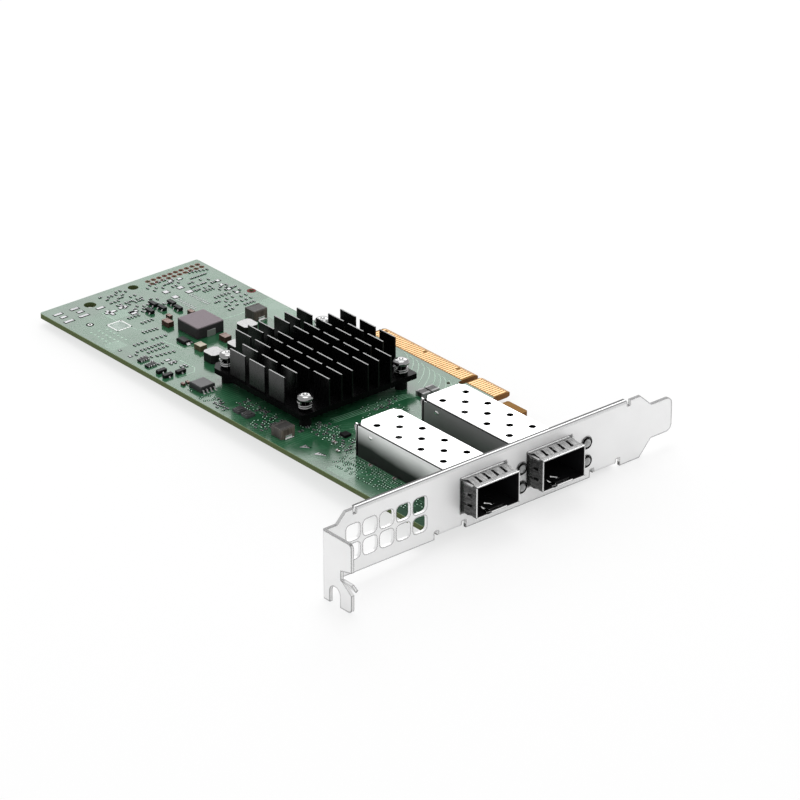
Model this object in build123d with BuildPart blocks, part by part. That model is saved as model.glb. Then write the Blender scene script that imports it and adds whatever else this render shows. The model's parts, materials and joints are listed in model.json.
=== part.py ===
"""Network interface card with two pluggable-module ports and a full-height bracket.

The origin is at the centre of the key notch, on the tips of the edge contacts, at
mid-thickness of the board.  +X runs towards the bracket, +Y out through the contact tips
and +Z up from the component side.  Millimetres.
"""

import os
from math import atan2, cos, degrees, hypot, radians, sin

from build123d import *

os.makedirs("parts", exist_ok=True)

# Board
board_thickness = 1.57
board_height = 68.9
board_length = 167.05
board_corner_radius = 0.6
key_to_bracket = 57.15
board_end_gap = 0.6
contact_tongue = 12.7
key_notch_width = 1.9
key_notch_depth = 7.6
long_tongue_length = 39.15
short_tongue_length = 11.65
foot_edge = 4.4
foot_gap = 3.95
foot_length = 8.1
foot_recess_length = 14.5
foot_recess_depth = 3.4
bevel_run = 1.3
bevel_depth = 0.42

# Sides of the small round forms that repeat
round_sides = 18
vent_sides = 12
bore_sides = 12
pin_hole_sides = 6

# Edge contacts
contact_pitch = 1.0
contact_width = 0.7
contact_reach = 5.65
contact_thickness = 0.05
short_contacts = 11
long_contacts = 38
sensing_contact_cut = 1.4
sensing_contacts = (5, 19, 36)

# Bracket
sheet = 0.86
bracket_length = 120.02
bracket_width = 18.42
bracket_drop = 4.37
tongue_reach = 17.24
tongue_width = 10.1
tongue_length = 7.5
tongue_tip_radius = 2.0
tongue_bottom = 4.57
bracket_shoulder = 4.1
end_step = 2.85
end_step_length = 4.3
end_chamfer_length = 2.8
flange_depth = 1.75
flange_start = 10.6
flange_end = 103.7
relief_width = 1.0
relief_depth = 1.55
fold_radius = 0.8
screw_tab_reach = 10.8
screw_tab_low = 4.05
screw_tab_corner = 1.3
screw_slot_width = 4.1
screw_slot_offset = 3.0
screw_slot_depth = 5.1
side_slit_height = 2.7
side_slit_flare = 1.0
side_slit_length = 4.2
side_slit_low = 7.9
bent_corner_run = 3.7
bent_corner_drop = 2.7
bent_corner_angle = 32
board_tab_width = 7.9
board_tab_depth = 8.2
board_tab_low = 0.77
board_tab_hole = 3.1
board_tab_hole_inset = 4.9
board_tab_places = (8.04, 62.09)
board_tab_relief = 1.4
board_tab_relief_height = 2.3
free_relief_radius = 1.4
board_tab_corner = 1.5
board_tab_fold = 0.8
boss_diameter = 5.2

# Vents in the bracket
vent_size = 4.6
vent_radius = 1.25
vent_pitch = 5.55
vent_columns = 5
vent_rows = 2
vent_first = 9.5
vent_low = 6.17

# Bracket screws
bracket_screw_diameter = 2.9
bracket_screw_head = 5.2
bracket_screw_head_height = 1.6
bracket_screw_length = 4.6
bracket_screw_edge = 0.7
cross_slot_width = 0.8
cross_slot_depth = 0.8

# Ports
port_pitch = 22.86
first_port = 19.4
cage_width = 14.4
cage_height = 9.8
cage_length = 48.9
cage_front = 6.6
cage_floor = 0.95
cage_wall = 0.3
cage_corner = 2.1
cage_corner_drop = 0.7
cage_corner_slit = 0.6
cage_top_radius = 0.5
cage_vent_diameter = 2.0
cage_vent_pitch = 8.95
cage_vent_spread = 4.05
cage_vent_first = 5.0
cage_vent_pairs = 4
cage_pin_width = 0.9
cage_pin_length = 2.3
cage_pin_play = 0.2
cage_pin_rear = 6.5
cage_pin_front = 3.6
cage_pin_count = 3
port_clearance = 0.75
floor_foot = 1.2
latch_width = 4.6
latch_length = 8.0
latch_gap = 0.5
latch_rise = 0.75
latch_window = 2.0

# Spring gasket round each port
gasket_thickness = 0.15
gasket_band = 2.4
finger_gap = 0.5
finger_length = 7.4
finger_bow = 0.45
top_fingers = 5
side_fingers = 3

# Module connector in each port
connector_width = 12.2
connector_height = 6.2
connector_depth = 9.0
connector_setback = 1.3
slot_width = 9.6
slot_height = 1.9
slot_depth = 6.2
slot_level = 4.1
blade_width = 0.35
blade_thickness = 0.2
blade_pitch = 0.8
blade_count = 10
blade_setback = 0.8
tail_gaps = (0.3, 0.75)
connector_chamfer = 0.4

# Light pipes and lamps
lamp_offset = 13.08
lens_diameter = 3.2
lens_hole = 3.5
lens_proud = 0.3
lens_edge = 0.25
lower_lens = 0.98
upper_lens = 6.42
pipe_width = 2.4
pipe_strip = 0.45
pipe_reach = 9.0
pipe_foot_wall = 0.8
lamp_length = 1.6
lamp_width = 0.9
lamp_height = 0.8
lamp_play = 0.2
side_lamp_depth = 1.0
side_lamp_height = 1.5

# Heatsink
heatsink_size = 40.4
heatsink_from_bracket = 82.7
heatsink_from_edge = 30.6
base_thickness = 1.6
base_level = 2.9
fin_height = 8.0
fin_thickness = 0.4
fin_edge = 0.6
fin_half_rows = 5
fin_middle_gap = 5.5
fin_inner_pitch = 3.7
fin_segments = 5
fin_gap = 1.9
corner_rows = 2
base_corner_chamfer = 0.3
base_marked_corner = 2.2

# Heatsink screws, springs and standoffs
corner_inset = 3.35
screw_shift = 0.4
shank_diameter = 2.0
shank_play = 0.15
screw_head_diameter = 4.6
screw_head_height = 1.5
screw_rise = 4.3
screw_below = 0.6
spring_diameter = 4.0
spring_turns = 3
spring_groove = 0.3
spring_play = 0.1
head_edge = 0.8
head_recess_width = 0.7
head_recess_depth = 0.5
standoff_diameter = 3.4

# Controller under the heatsink
chip_size = 25.0
chip_carrier_height = 1.0
chip_lid_inset = 2.5
thermal_pad_thickness = 0.4

# Choke and small inductors
choke_length = 9.6
choke_width = 9.5
choke_height = 3.4
choke_place = (129.6, 28.05)
choke_corner = 0.7
choke_terminal_width = 2.9
choke_terminal_height = 1.9
choke_terminal_foot = 1.5
choke_edge = 0.2
inductor_size = 4.9
inductor_height = 2.7
inductor_corner = 0.8
inductor_foot = 1.3
inductor_places = ((111.9, 19.1), (111.9, 27.4), (120.1, 37.2))
terminal_thickness = 0.15

# Bulk capacitors
bulk_length = 4.6
bulk_width = 4.7
bulk_height = 2.9
bulk_edge = 0.25
bulk_places = ((126.2, 45.2), (64.1, 5.0))

# Ceramic capacitors: from bracket, from free edge, length along X, width, height
ceramic_list = (
    (137.8, 22.7, 3.0, 2.0, 1.5),
    (119.7, 20.3, 2.8, 2.3, 1.6),
    (119.8, 29.1, 2.8, 2.2, 1.6),
    (141.3, 25.9, 1.7, 1.1, 1.0),
    (139.7, 32.5, 2.0, 1.25, 0.9),
    (105.1, 2.9, 1.2, 0.8, 0.6),
    (105.1, 4.5, 1.2, 0.8, 0.6),
)
ceramic_cap_share = 0.2
ceramic_cap_proud = 0.04

# Flash memory chip
flash_place = (100.4, 5.9)
flash_length = 5.1
flash_width = 4.9
flash_height = 1.7
flash_lead_pitch = 1.27
flash_lead_width = 0.42
flash_lead_reach = 1.35
flash_leads = 4

# Transistors: from bracket, from free edge, turned a quarter turn or not
transistor_list = (
    (150.9, 27.5, False),
    (147.2, 27.9, False),
    (147.8, 24.0, False),
    (148.2, 32.0, False),
    (144.2, 31.3, False),
    (115.1, 3.1, True),
    (111.8, 2.8, True),
    (111.5, 7.0, True),
)
transistor_length = 2.9
transistor_width = 1.3
transistor_height = 1.0
transistor_lead_width = 0.42
transistor_lead_reach = 0.55
transistor_lead_pitch = 0.95
lead_thickness = 0.15
lead_bends = (0.25, 0.35, 0.5, 0.6)
body_lift = 0.1
body_draft = 0.2

# Resistor networks: from bracket, from free edge
network_places = ((124.3, 3.9), (120.3, 3.4))
network_length = 3.2
network_width = 1.6
network_height = 0.55
network_pads = 4

# Diode
diode_place = (126.4, 19.5)
diode_length = 3.6
diode_width = 2.3
diode_height = 1.0
diode_lead_reach = 0.9

# Clock crystals, filters and the small logic chip
crystal_places = ((82.5, 4.8), (79.0, 4.9))
crystal_length = 2.6
crystal_width = 2.9
crystal_height = 1.1
crystal_lid_inset = 0.3
crystal_lid_height = 0.3
filter_places = ((58.0, 49.0), (58.0, 52.2))
filter_length = 3.2
filter_width = 2.6
filter_height = 1.3
logic_place = (52.9, 17.4)
logic_size = 2.3
logic_height = 0.8

# Holes in the board: from bracket, from free edge, diameter
board_holes = (
    (140.6, 54.9, 1.5),
    (59.3, 59.1, 1.2),
    (152.2, 6.2, 0.7),
)
end_holes = (
    (162.7, 14.0, 3.6),
    (164.15, 30.4, 3.1),
)
header_place = (163.6, 45.0)
header_pitch = 2.0
header_columns = 2
header_rows = 10
header_hole = 1.0

# Places worked out from the sizes above
board_top = board_thickness / 2
board_bottom = -board_thickness / 2
free_edge = -board_height
bracket_inner = key_to_bracket
bracket_outer = bracket_inner + sheet
board_end = bracket_inner - board_end_gap
far_edge = board_end - board_length
body_edge = -contact_tongue
long_start = -key_notch_width / 2 - long_tongue_length
short_end = key_notch_width / 2 + short_tongue_length
foot_start = short_end + foot_gap
foot_stop = foot_start + foot_length
recess_stop = foot_stop + foot_recess_length
bracket_low = board_top - bracket_drop
bracket_high = bracket_low + bracket_width
tongue_tip = tongue_reach
screw_tab_face = tongue_tip - bracket_length
cage_front_x = bracket_inner + cage_front
cage_rear_x = cage_front_x - cage_length
cage_top_z = board_top + cage_height
cage_floor_z = board_top + cage_floor
heatsink_x = bracket_inner - heatsink_from_bracket
heatsink_y = free_edge + heatsink_from_edge
base_bottom_z = board_top + base_level
base_top_z = base_bottom_z + base_thickness
port_centres = [free_edge + first_port + port_pitch * number for number in range(2)]


def on_board(place):
    """Point on the board's top face, from the bracket and the free long edge."""
    return (bracket_inner - place[0], free_edge + place[1])


screw_offset = heatsink_size / 2 - corner_inset
heatsink_corners = [
    (heatsink_x + screw_shift + side * screw_offset, heatsink_y + end * screw_offset)
    for side in (-1, 1)
    for end in (-1, 1)
]
bracket_screw_points = [
    (bracket_inner - board_tab_hole_inset, free_edge + place) for place in board_tab_places
]
first_pin_x = cage_rear_x + cage_corner + cage_pin_rear
last_pin_x = board_end - cage_pin_front
pin_step = (last_pin_x - first_pin_x) / (cage_pin_count - 1)
cage_pin_x = [first_pin_x + pin_step * number for number in range(cage_pin_count)]
cage_pin_points = [
    (pin_x, centre + side * (cage_width - cage_wall) / 2)
    for centre in port_centres
    for pin_x in cage_pin_x
    for side in (-1, 1)
]

# Circuit board
with BuildPart() as circuit_board:
    with BuildSketch(Plane.XY.offset(board_bottom)) as board_outline:
        with BuildLine():
            Polyline(
                (far_edge, free_edge),
                (board_end, free_edge),
                (board_end, -foot_edge),
                (recess_stop, -foot_edge),
                (recess_stop, -foot_edge - foot_recess_depth),
                (foot_stop, -foot_edge - foot_recess_depth),
                (foot_stop, -foot_edge),
                (foot_start, -foot_edge),
                (foot_start, body_edge),
                (short_end, body_edge),
                (short_end, 0),
                (long_start, 0),
                (long_start, body_edge),
                (far_edge, body_edge),
                close=True,
            )
        make_face()
        fillet(board_outline.vertices(), board_corner_radius)
        SlotOverall(2 * key_notch_depth, key_notch_width, rotation=90, mode=Mode.SUBTRACT)
        for along, across, diameter in end_holes:
            with Locations(on_board((along, across))):
                Circle(diameter / 2, mode=Mode.SUBTRACT)
        for along, across, diameter in board_holes:
            with Locations(on_board((along, across))):
                RegularPolygon(diameter / 2, bore_sides, mode=Mode.SUBTRACT)
        with Locations(on_board(header_place)):
            with GridLocations(header_pitch, header_pitch, header_columns, header_rows):
                RegularPolygon(header_hole / 2, pin_hole_sides, mode=Mode.SUBTRACT)
        with Locations(*bracket_screw_points):
            RegularPolygon(board_tab_hole / 2, bore_sides, mode=Mode.SUBTRACT)
        with Locations(*heatsink_corners):
            RegularPolygon(shank_diameter / 2 + shank_play, bore_sides, mode=Mode.SUBTRACT)
        with Locations(*cage_pin_points):
            Rectangle(
                cage_pin_width + 2 * cage_pin_play,
                cage_wall + 2 * cage_pin_play,
                mode=Mode.SUBTRACT,
            )
    extrude(amount=board_thickness)
    # Bevels along the tips of both tongues, above and below
    with BuildSketch(Plane.YZ.offset(long_start - board_corner_radius)):
        for side in (-1, 1):
            with BuildLine():
                Polyline(
                    (-bevel_run, side * board_top),
                    (contact_pitch, side * board_top),
                    (contact_pitch, side * (board_top - bevel_depth)),
                    (0, side * (board_top - bevel_depth)),
                    close=True,
                )
            make_face()
    extrude(amount=short_end - long_start + 2 * board_corner_radius, mode=Mode.SUBTRACT)
circuit_board.part.label = "circuit_board"
export_step(circuit_board.part, "parts/circuit_board.step")


def contact_places():
    """Middle of each contact along X, and how far its tip is cut short."""
    half_key = key_notch_width / 2
    short_margin = (short_tongue_length - (short_contacts - 1) * contact_pitch) / 2
    long_margin = (long_tongue_length - (long_contacts - 1) * contact_pitch) / 2
    places = []
    for number in range(short_contacts):
        places.append((half_key + short_margin + number * contact_pitch, 0))
    for number in range(long_contacts):
        cut = sensing_contact_cut if number in sensing_contacts else 0
        places.append((-half_key - long_margin - number * contact_pitch, cut))
    return places


def contact_rows(level, thickness):
    """Contact pads standing on the board's face at this level."""
    with BuildSketch(Plane.XY.offset(level)) as pads:
        for place, cut in contact_places():
            length = contact_reach - bevel_run - cut
            with Locations((place, -contact_reach + length / 2)):
                Rectangle(contact_width, length)
    extrude(pads.sketch, amount=thickness)


# Edge contacts, one group on each face
with BuildPart() as upper_contacts:
    contact_rows(board_top, contact_thickness)
upper_contacts.part.label = "upper_contacts"
export_step(upper_contacts.part, "parts/upper_contacts.step")

with BuildPart() as lower_contacts:
    contact_rows(board_bottom, -contact_thickness)
lower_contacts.part.label = "lower_contacts"
export_step(lower_contacts.part, "parts/lower_contacts.step")

# Bracket: face with its tongue and cut-outs, folded flange, screw tab and board tabs
tongue_low = bracket_low + tongue_bottom
tongue_high = tongue_low + tongue_width
tongue_root = tongue_tip - tongue_length
shoulder_start = tongue_root - bracket_shoulder
end_step_z = bracket_high - end_step
cutout_width = cage_width + 2 * port_clearance
cutout_low = cage_floor_z - port_clearance
cutout_high = cage_top_z + port_clearance
flange_start_y = screw_tab_face + flange_start
flange_end_y = screw_tab_face + flange_end
flange_middle = (flange_start_y + flange_end_y) / 2
board_tab_bottom = bracket_low + board_tab_low
board_tab_top = board_tab_bottom + sheet
screw_tab_bottom = bracket_low - screw_tab_low
screw_slot_x = bracket_inner + screw_slot_offset + screw_slot_width / 2
corner_x = bracket_outer + screw_tab_reach
corner_z = screw_tab_bottom + side_slit_low
touch = 0.01

with BuildSketch() as vent_outline:
    corner_pitch = vent_size - 2 * vent_radius
    with GridLocations(corner_pitch, corner_pitch, 2, 2):
        RegularPolygon(vent_radius, bore_sides)
    make_hull()

with BuildPart() as mounting_bracket:
    with BuildSketch(Plane.YZ.offset(bracket_inner)) as bracket_face:
        with BuildLine():
            Polyline(
                (screw_tab_face, bracket_low),
                (shoulder_start, bracket_low),
                (tongue_root, tongue_low),
                (tongue_tip, tongue_low),
                (tongue_tip, tongue_high),
                (tongue_root, tongue_high),
                (shoulder_start, bracket_high),
                (screw_tab_face + end_step_length + end_chamfer_length, bracket_high),
                (screw_tab_face + end_step_length, end_step_z),
                (screw_tab_face, end_step_z),
                close=True,
            )
        make_face()
        fillet(bracket_face.vertices().group_by(Axis.X)[-1], tongue_tip_radius)
        for centre in port_centres:
            with Locations((centre, (cutout_low + cutout_high) / 2)):
                Rectangle(cutout_width, cutout_high - cutout_low, mode=Mode.SUBTRACT)
            lens_y = centre + lamp_offset
            with Locations((lens_y, board_top + lower_lens), (lens_y, board_top + upper_lens)):
                RegularPolygon(lens_hole / 2, round_sides, mode=Mode.SUBTRACT)
        for column in range(vent_columns):
            for row in range(vent_rows):
                vent_y = screw_tab_face + vent_first + vent_pitch * column
                vent_z = bracket_low + vent_low + vent_pitch * row
                with Locations((vent_y, vent_z)):
                    add(vent_outline.sketch, mode=Mode.SUBTRACT)
        for relief_y in (flange_start_y - relief_width / 2, flange_end_y + relief_width / 2):
            with Locations((relief_y, bracket_high)):
                Rectangle(relief_width, 2 * relief_depth, mode=Mode.SUBTRACT)
        for place in board_tab_places:
            for side in (-1, 1):
                relief_y = free_edge + place + side * (board_tab_width + board_tab_relief) / 2
                with Locations((relief_y, bracket_low)):
                    Rectangle(board_tab_relief, 2 * board_tab_relief_height, mode=Mode.SUBTRACT)
            with Locations((free_edge + place, bracket_low)):
                Rectangle(board_tab_width, 2 * board_tab_low, mode=Mode.SUBTRACT)
        relief_side = free_edge + board_tab_places[0] - board_tab_width / 2 - board_tab_relief
        relief_corner = bracket_face.vertices().sort_by_distance((bracket_inner, relief_side, bracket_low))
        fillet(relief_corner[0], free_relief_radius)
    extrude(amount=sheet)
    # Flange folded in along the top
    with Locations((bracket_outer, flange_middle, bracket_high)):
        Box(flange_depth, flange_end - flange_start, sheet, align=(Align.MAX, Align.CENTER, Align.MAX))
    flange_fold = (
        mounting_bracket.edges()
        .filter_by(Axis.Y)
        .filter_by_position(Axis.X, bracket_outer - touch, bracket_outer + touch)
        .filter_by_position(Axis.Z, bracket_high - touch, bracket_high + touch)
        .sort_by(SortBy.LENGTH)[-1]
    )
    fillet(flange_fold, fold_radius)
    # Tabs folded in under the board, each with a raised threaded boss
    for place in board_tab_places:
        with Locations((bracket_outer, free_edge + place, board_tab_bottom)):
            Box(board_tab_depth, board_tab_width, sheet, align=(Align.MAX, Align.CENTER, Align.MIN))
    tab_corners = (
        mounting_bracket.edges()
        .filter_by(Axis.Z)
        .filter_by_position(
            Axis.X, bracket_outer - board_tab_depth - touch, bracket_outer - board_tab_depth + touch
        )
    )
    fillet(tab_corners, board_tab_corner)
    tab_folds = (
        mounting_bracket.edges()
        .filter_by(Axis.Y)
        .filter_by_position(Axis.X, bracket_outer - touch, bracket_outer + touch)
        .filter_by_position(Axis.Z, board_tab_bottom - touch, board_tab_bottom + touch)
    )
    fillet(tab_folds, board_tab_fold)
    with BuildSketch(Plane.XY.offset(board_tab_top)):
        with Locations(*bracket_screw_points):
            RegularPolygon(boss_diameter / 2, round_sides)
    extrude(amount=board_bottom - board_tab_top)
    with BuildSketch(Plane.XY.offset(board_bottom)):
        with Locations(*bracket_screw_points):
            RegularPolygon(board_tab_hole / 2, bore_sides)
    extrude(amount=board_tab_bottom - board_bottom, mode=Mode.SUBTRACT)
    # Screw tab folded out at the free end, with its open slot and side slit
    with BuildSketch(Plane.XZ.offset(-screw_tab_face - sheet)) as screw_tab:
        with Locations((bracket_inner, screw_tab_bottom)):
            Rectangle(
                sheet + screw_tab_reach,
                end_step_z - screw_tab_bottom,
                align=(Align.MIN, Align.MIN),
            )
        fillet(screw_tab.vertices().group_by(Axis.X)[-1], screw_tab_corner)
        with Locations((screw_slot_x, screw_tab_bottom)):
            SlotCenterToCenter(
                2 * (screw_slot_depth - screw_slot_width / 2),
                screw_slot_width,
                rotation=90,
                mode=Mode.SUBTRACT,
            )
        with BuildLine():
            Polyline(
                (corner_x, corner_z),
                (corner_x - side_slit_length, corner_z),
                (corner_x - side_slit_length, corner_z + side_slit_height),
                (corner_x, corner_z + side_slit_height + side_slit_flare),
                close=True,
            )
        make_face(mode=Mode.SUBTRACT)
    extrude(amount=sheet)
    # Corner of the tab's leg, cut off below the slit and put back bent inwards
    with BuildSketch(Plane.XZ.offset(-screw_tab_face)):
        with BuildLine():
            Polyline(
                (corner_x - bent_corner_run, corner_z),
                (corner_x, corner_z - bent_corner_drop),
                (corner_x, corner_z),
                close=True,
            )
        make_face()
    extrude(amount=-sheet, mode=Mode.SUBTRACT)
    fold_length = hypot(bent_corner_run, bent_corner_drop)
    fold_slope = (bent_corner_run / fold_length, 0, -bent_corner_drop / fold_length)
    bent_plane = Plane(
        origin=(corner_x - bent_corner_run, screw_tab_face, corner_z),
        x_dir=fold_slope,
        z_dir=(0, -1, 0),
    ).rotated((bent_corner_angle, 0, 0))
    flap_foot = bent_corner_run**2 / fold_length
    flap_height = bent_corner_run * bent_corner_drop / fold_length
    with BuildSketch(bent_plane) as bent_flap:
        with BuildLine():
            Polyline((0, 0), (fold_length, 0), (flap_foot, flap_height), close=True)
        make_face()
    extrude(bent_flap.sketch, amount=-sheet)
    tab_fold = (
        mounting_bracket.edges()
        .filter_by(Axis.Z)
        .filter_by_position(Axis.X, bracket_inner - touch, bracket_inner + touch)
        .filter_by_position(Axis.Y, screw_tab_face - touch, screw_tab_face + touch)
    )
    fillet(tab_fold, fold_radius)
mounting_bracket.part.label = "mounting_bracket"
export_step(mounting_bracket.part, "parts/mounting_bracket.step")

# Screws through the board into the bracket's bosses
with BuildPart() as bracket_screws:
    with BuildSketch(Plane.XY.offset(board_top)):
        with Locations(*bracket_screw_points):
            RegularPolygon(bracket_screw_head / 2, round_sides)
    extrude(amount=bracket_screw_head_height)
    chamfer(bracket_screws.edges().group_by(Axis.Z)[-1], bracket_screw_edge)
    with BuildSketch(Plane.XY.offset(board_top)):
        with Locations(*bracket_screw_points):
            RegularPolygon(bracket_screw_diameter / 2, bore_sides)
    extrude(amount=-bracket_screw_length)
    with BuildSketch(Plane.XY.offset(board_top + bracket_screw_head_height)):
        with Locations(*bracket_screw_points):
            Rectangle(cross_slot_width, bracket_screw_diameter)
            Rectangle(bracket_screw_diameter, cross_slot_width)
    extrude(amount=-cross_slot_depth, mode=Mode.SUBTRACT)
bracket_screws.part.label = "bracket_screws"
export_step(bracket_screws.part, "parts/bracket_screws.step")


def cage(centre):
    """Folded shell of one port, with its vents and board pins."""
    with BuildPart() as shell:
        with BuildSketch(Plane.XY.offset(board_top)):
            with Locations((cage_rear_x, centre)):
                Rectangle(cage_length, cage_width, align=(Align.MIN, Align.CENTER))
        extrude(amount=cage_height)
        long_top_edges = shell.edges().filter_by(Axis.X).group_by(Axis.Z)[-1]
        fillet(long_top_edges, cage_top_radius)
        with Locations((cage_rear_x + cage_wall, centre, board_top)):
            Box(
                cage_length,
                cage_width - 2 * cage_wall,
                cage_height - cage_wall,
                align=(Align.MIN, Align.CENTER, Align.MIN),
                mode=Mode.SUBTRACT,
            )
        with BuildSketch(Plane.XY.offset(cage_top_z)):
            for side in (-1, 1):
                edge_y = centre + side * cage_width / 2
                with BuildLine():
                    Polyline(
                        (cage_rear_x, edge_y),
                        (cage_rear_x + cage_corner, edge_y),
                        (cage_rear_x, edge_y - side * cage_corner),
                        close=True,
                    )
                make_face()
        extrude(amount=-cage_corner_drop, mode=Mode.SUBTRACT)
        with Locations((cage_rear_x + cage_wall, centre, board_top)):
            with GridLocations(0, cage_width - cage_corner_slit, 1, 2):
                Box(
                    cage_corner_slit,
                    cage_corner_slit,
                    cage_height,
                    align=(Align.MIN, Align.CENTER, Align.MIN),
                    mode=Mode.SUBTRACT,
                )
        # In front of the board the walls stop at the level of the floor
        with Locations((board_end, centre, board_top)):
            Box(
                cage_length,
                2 * cage_width,
                cage_floor,
                align=(Align.MIN, Align.CENTER, Align.MIN),
                mode=Mode.SUBTRACT,
            )
        with BuildSketch(Plane.XY.offset(cage_top_z)):
            for number in range(cage_vent_pairs):
                along = cage_rear_x + cage_vent_first + cage_vent_pitch * number
                with Locations((along, centre - cage_vent_spread), (along, centre + cage_vent_spread)):
                    RegularPolygon(cage_vent_diameter / 2, vent_sides)
                if number + 1 < cage_vent_pairs:
                    with Locations((along + cage_vent_pitch / 2, centre)):
                        RegularPolygon(cage_vent_diameter / 2, vent_sides)
        extrude(amount=-cage_wall, mode=Mode.SUBTRACT)
        for side in (-1, 1):
            for pin_x in cage_pin_x:
                with Locations((pin_x, centre + side * (cage_width - cage_wall) / 2, board_top)):
                    Box(
                        cage_pin_width,
                        cage_wall,
                        cage_pin_length,
                        align=(Align.CENTER, Align.CENTER, Align.MAX),
                    )
    return shell.part


def cage_floor_plate(centre):
    """Floor of one port, standing on small feet, with its sprung latch tongue."""
    floor_start = cage_rear_x + cage_wall + connector_setback + connector_depth + floor_foot
    tongue_back = cage_front_x - latch_length
    window_x = cage_front_x - latch_length / 3
    rise_front = cage_floor_z + latch_rise
    with BuildPart() as floor:
        with BuildSketch(Plane.XY.offset(cage_floor_z)):
            with Locations((floor_start, centre)):
                Rectangle(
                    cage_front_x - floor_start,
                    cage_width - 2 * cage_wall,
                    align=(Align.MIN, Align.CENTER),
                )
            with Locations((tongue_back, centre)):
                Rectangle(
                    latch_length,
                    latch_width + 2 * latch_gap,
                    align=(Align.MIN, Align.CENTER),
                    mode=Mode.SUBTRACT,
                )
        extrude(amount=cage_wall)
        with BuildSketch(Plane.XZ.offset(-centre)):
            with BuildLine():
                Polyline(
                    (tongue_back - cage_wall, cage_floor_z),
                    (tongue_back, cage_floor_z),
                    (cage_front_x - latch_gap, rise_front),
                    (cage_front_x - latch_gap, rise_front + cage_wall),
                    (tongue_back, cage_floor_z + cage_wall),
                    (tongue_back - cage_wall, cage_floor_z + cage_wall),
                    close=True,
                )
            make_face()
        extrude(amount=latch_width / 2, both=True)
        with BuildSketch(Plane.XY.offset(cage_floor_z)):
            with Locations((window_x, centre)):
                RegularPolygon(latch_window / 2, 3)
        extrude(amount=latch_rise + cage_wall, mode=Mode.SUBTRACT)
        for along in (floor_start, (floor_start + board_end) / 2):
            for side in (-1, 1):
                edge_y = centre + side * (cage_width / 2 - cage_wall)
                with Locations((along, edge_y, board_top)):
                    Box(
                        floor_foot,
                        cage_wall,
                        cage_floor,
                        align=(Align.MIN, Align.MIN if side < 0 else Align.MAX, Align.MIN),
                    )
    return floor.part


def finger_outline(start, base, side):
    """Bowed spring finger in profile: from the band backwards, raised from its base."""
    stop = start - finger_length
    middle = (start + stop) / 2
    outer = side * gasket_thickness
    bow = side * finger_bow
    Polyline(
        (start, base),
        (middle, base + bow),
        (stop, base),
        (stop, base + outer),
        (middle, base + bow + outer),
        (start, base + outer),
        close=True,
    )


def gasket(centre):
    """Band round the mouth of one port with spring fingers reaching into the bracket."""
    wall_height = cage_height - cage_floor
    middle_z = cage_floor_z + wall_height / 2
    band_start = cage_front_x - gasket_band
    top_finger = (cage_width - (top_fingers + 1) * finger_gap) / top_fingers
    side_finger = (wall_height - (side_fingers + 1) * finger_gap) / side_fingers
    with BuildPart() as ring:
        with BuildSketch(Plane.YZ.offset(band_start)):
            with Locations((centre, middle_z)):
                Rectangle(cage_width + 2 * gasket_thickness, wall_height + 2 * gasket_thickness)
                Rectangle(cage_width, wall_height, mode=Mode.SUBTRACT)
        extrude(amount=gasket_band)
        for number in range(top_fingers):
            low_y = centre - cage_width / 2 + finger_gap + number * (top_finger + finger_gap)
            with BuildSketch(Plane.XZ.offset(-low_y)):
                with BuildLine():
                    finger_outline(band_start, cage_top_z, 1)
                make_face()
            extrude(amount=-top_finger)
        for number in range(side_fingers):
            low_z = cage_floor_z + finger_gap + number * (side_finger + finger_gap)
            for side in (-1, 1):
                with BuildSketch(Plane.XY.offset(low_z)):
                    with BuildLine():
                        finger_outline(band_start, centre + side * cage_width / 2, side)
                    make_face()
                extrude(amount=side_finger)
    return ring.part


connector_rear = cage_rear_x + cage_wall + connector_setback
connector_front = connector_rear + connector_depth
slot_middle = board_top + slot_level
slot_end = connector_front - slot_depth
upper_blade_z = slot_middle + slot_height / 2 - blade_thickness
lower_blade_z = slot_middle - slot_height / 2


def connector(centre):
    """Moulded housing at the back of one port, with its card slot."""
    with BuildPart() as housing:
        with Locations((connector_rear, centre, board_top)):
            Box(
                connector_depth,
                connector_width,
                connector_height,
                align=(Align.MIN, Align.CENTER, Align.MIN),
            )
        chamfer(housing.faces().sort_by(Axis.X)[-1].edges(), connector_chamfer)
        with Locations((connector_front, centre, slot_middle)):
            Box(
                slot_depth,
                slot_width,
                slot_height,
                align=(Align.MAX, Align.CENTER, Align.CENTER),
                mode=Mode.SUBTRACT,
            )
        for level in (upper_blade_z, lower_blade_z):
            with Locations((slot_end, centre, level)):
                Box(
                    slot_end - connector_rear,
                    slot_width,
                    blade_thickness,
                    align=(Align.MAX, Align.CENTER, Align.MIN),
                    mode=Mode.SUBTRACT,
                )
    return housing.part


def blades(centre):
    """Two rows of contact blades, each running back and down to the board."""
    with BuildPart() as rows:
        for level, shift, gap in (
            (upper_blade_z, blade_pitch / 4, tail_gaps[1]),
            (lower_blade_z, -blade_pitch / 4, tail_gaps[0]),
        ):
            tail_x = connector_rear - gap
            tip_x = connector_front - blade_setback
            for number in range(blade_count):
                offset = (number - (blade_count - 1) / 2) * blade_pitch
                with BuildSketch(Plane.XZ.offset(-(centre + shift + offset))):
                    with BuildLine():
                        Polyline(
                            (tip_x, level),
                            (tip_x, level + blade_thickness),
                            (tail_x - blade_thickness, level + blade_thickness),
                            (tail_x - blade_thickness, board_top),
                            (tail_x, board_top),
                            (tail_x, level),
                            close=True,
                        )
                    make_face()
                extrude(amount=blade_width / 2, both=True)
    return rows.part


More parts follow.
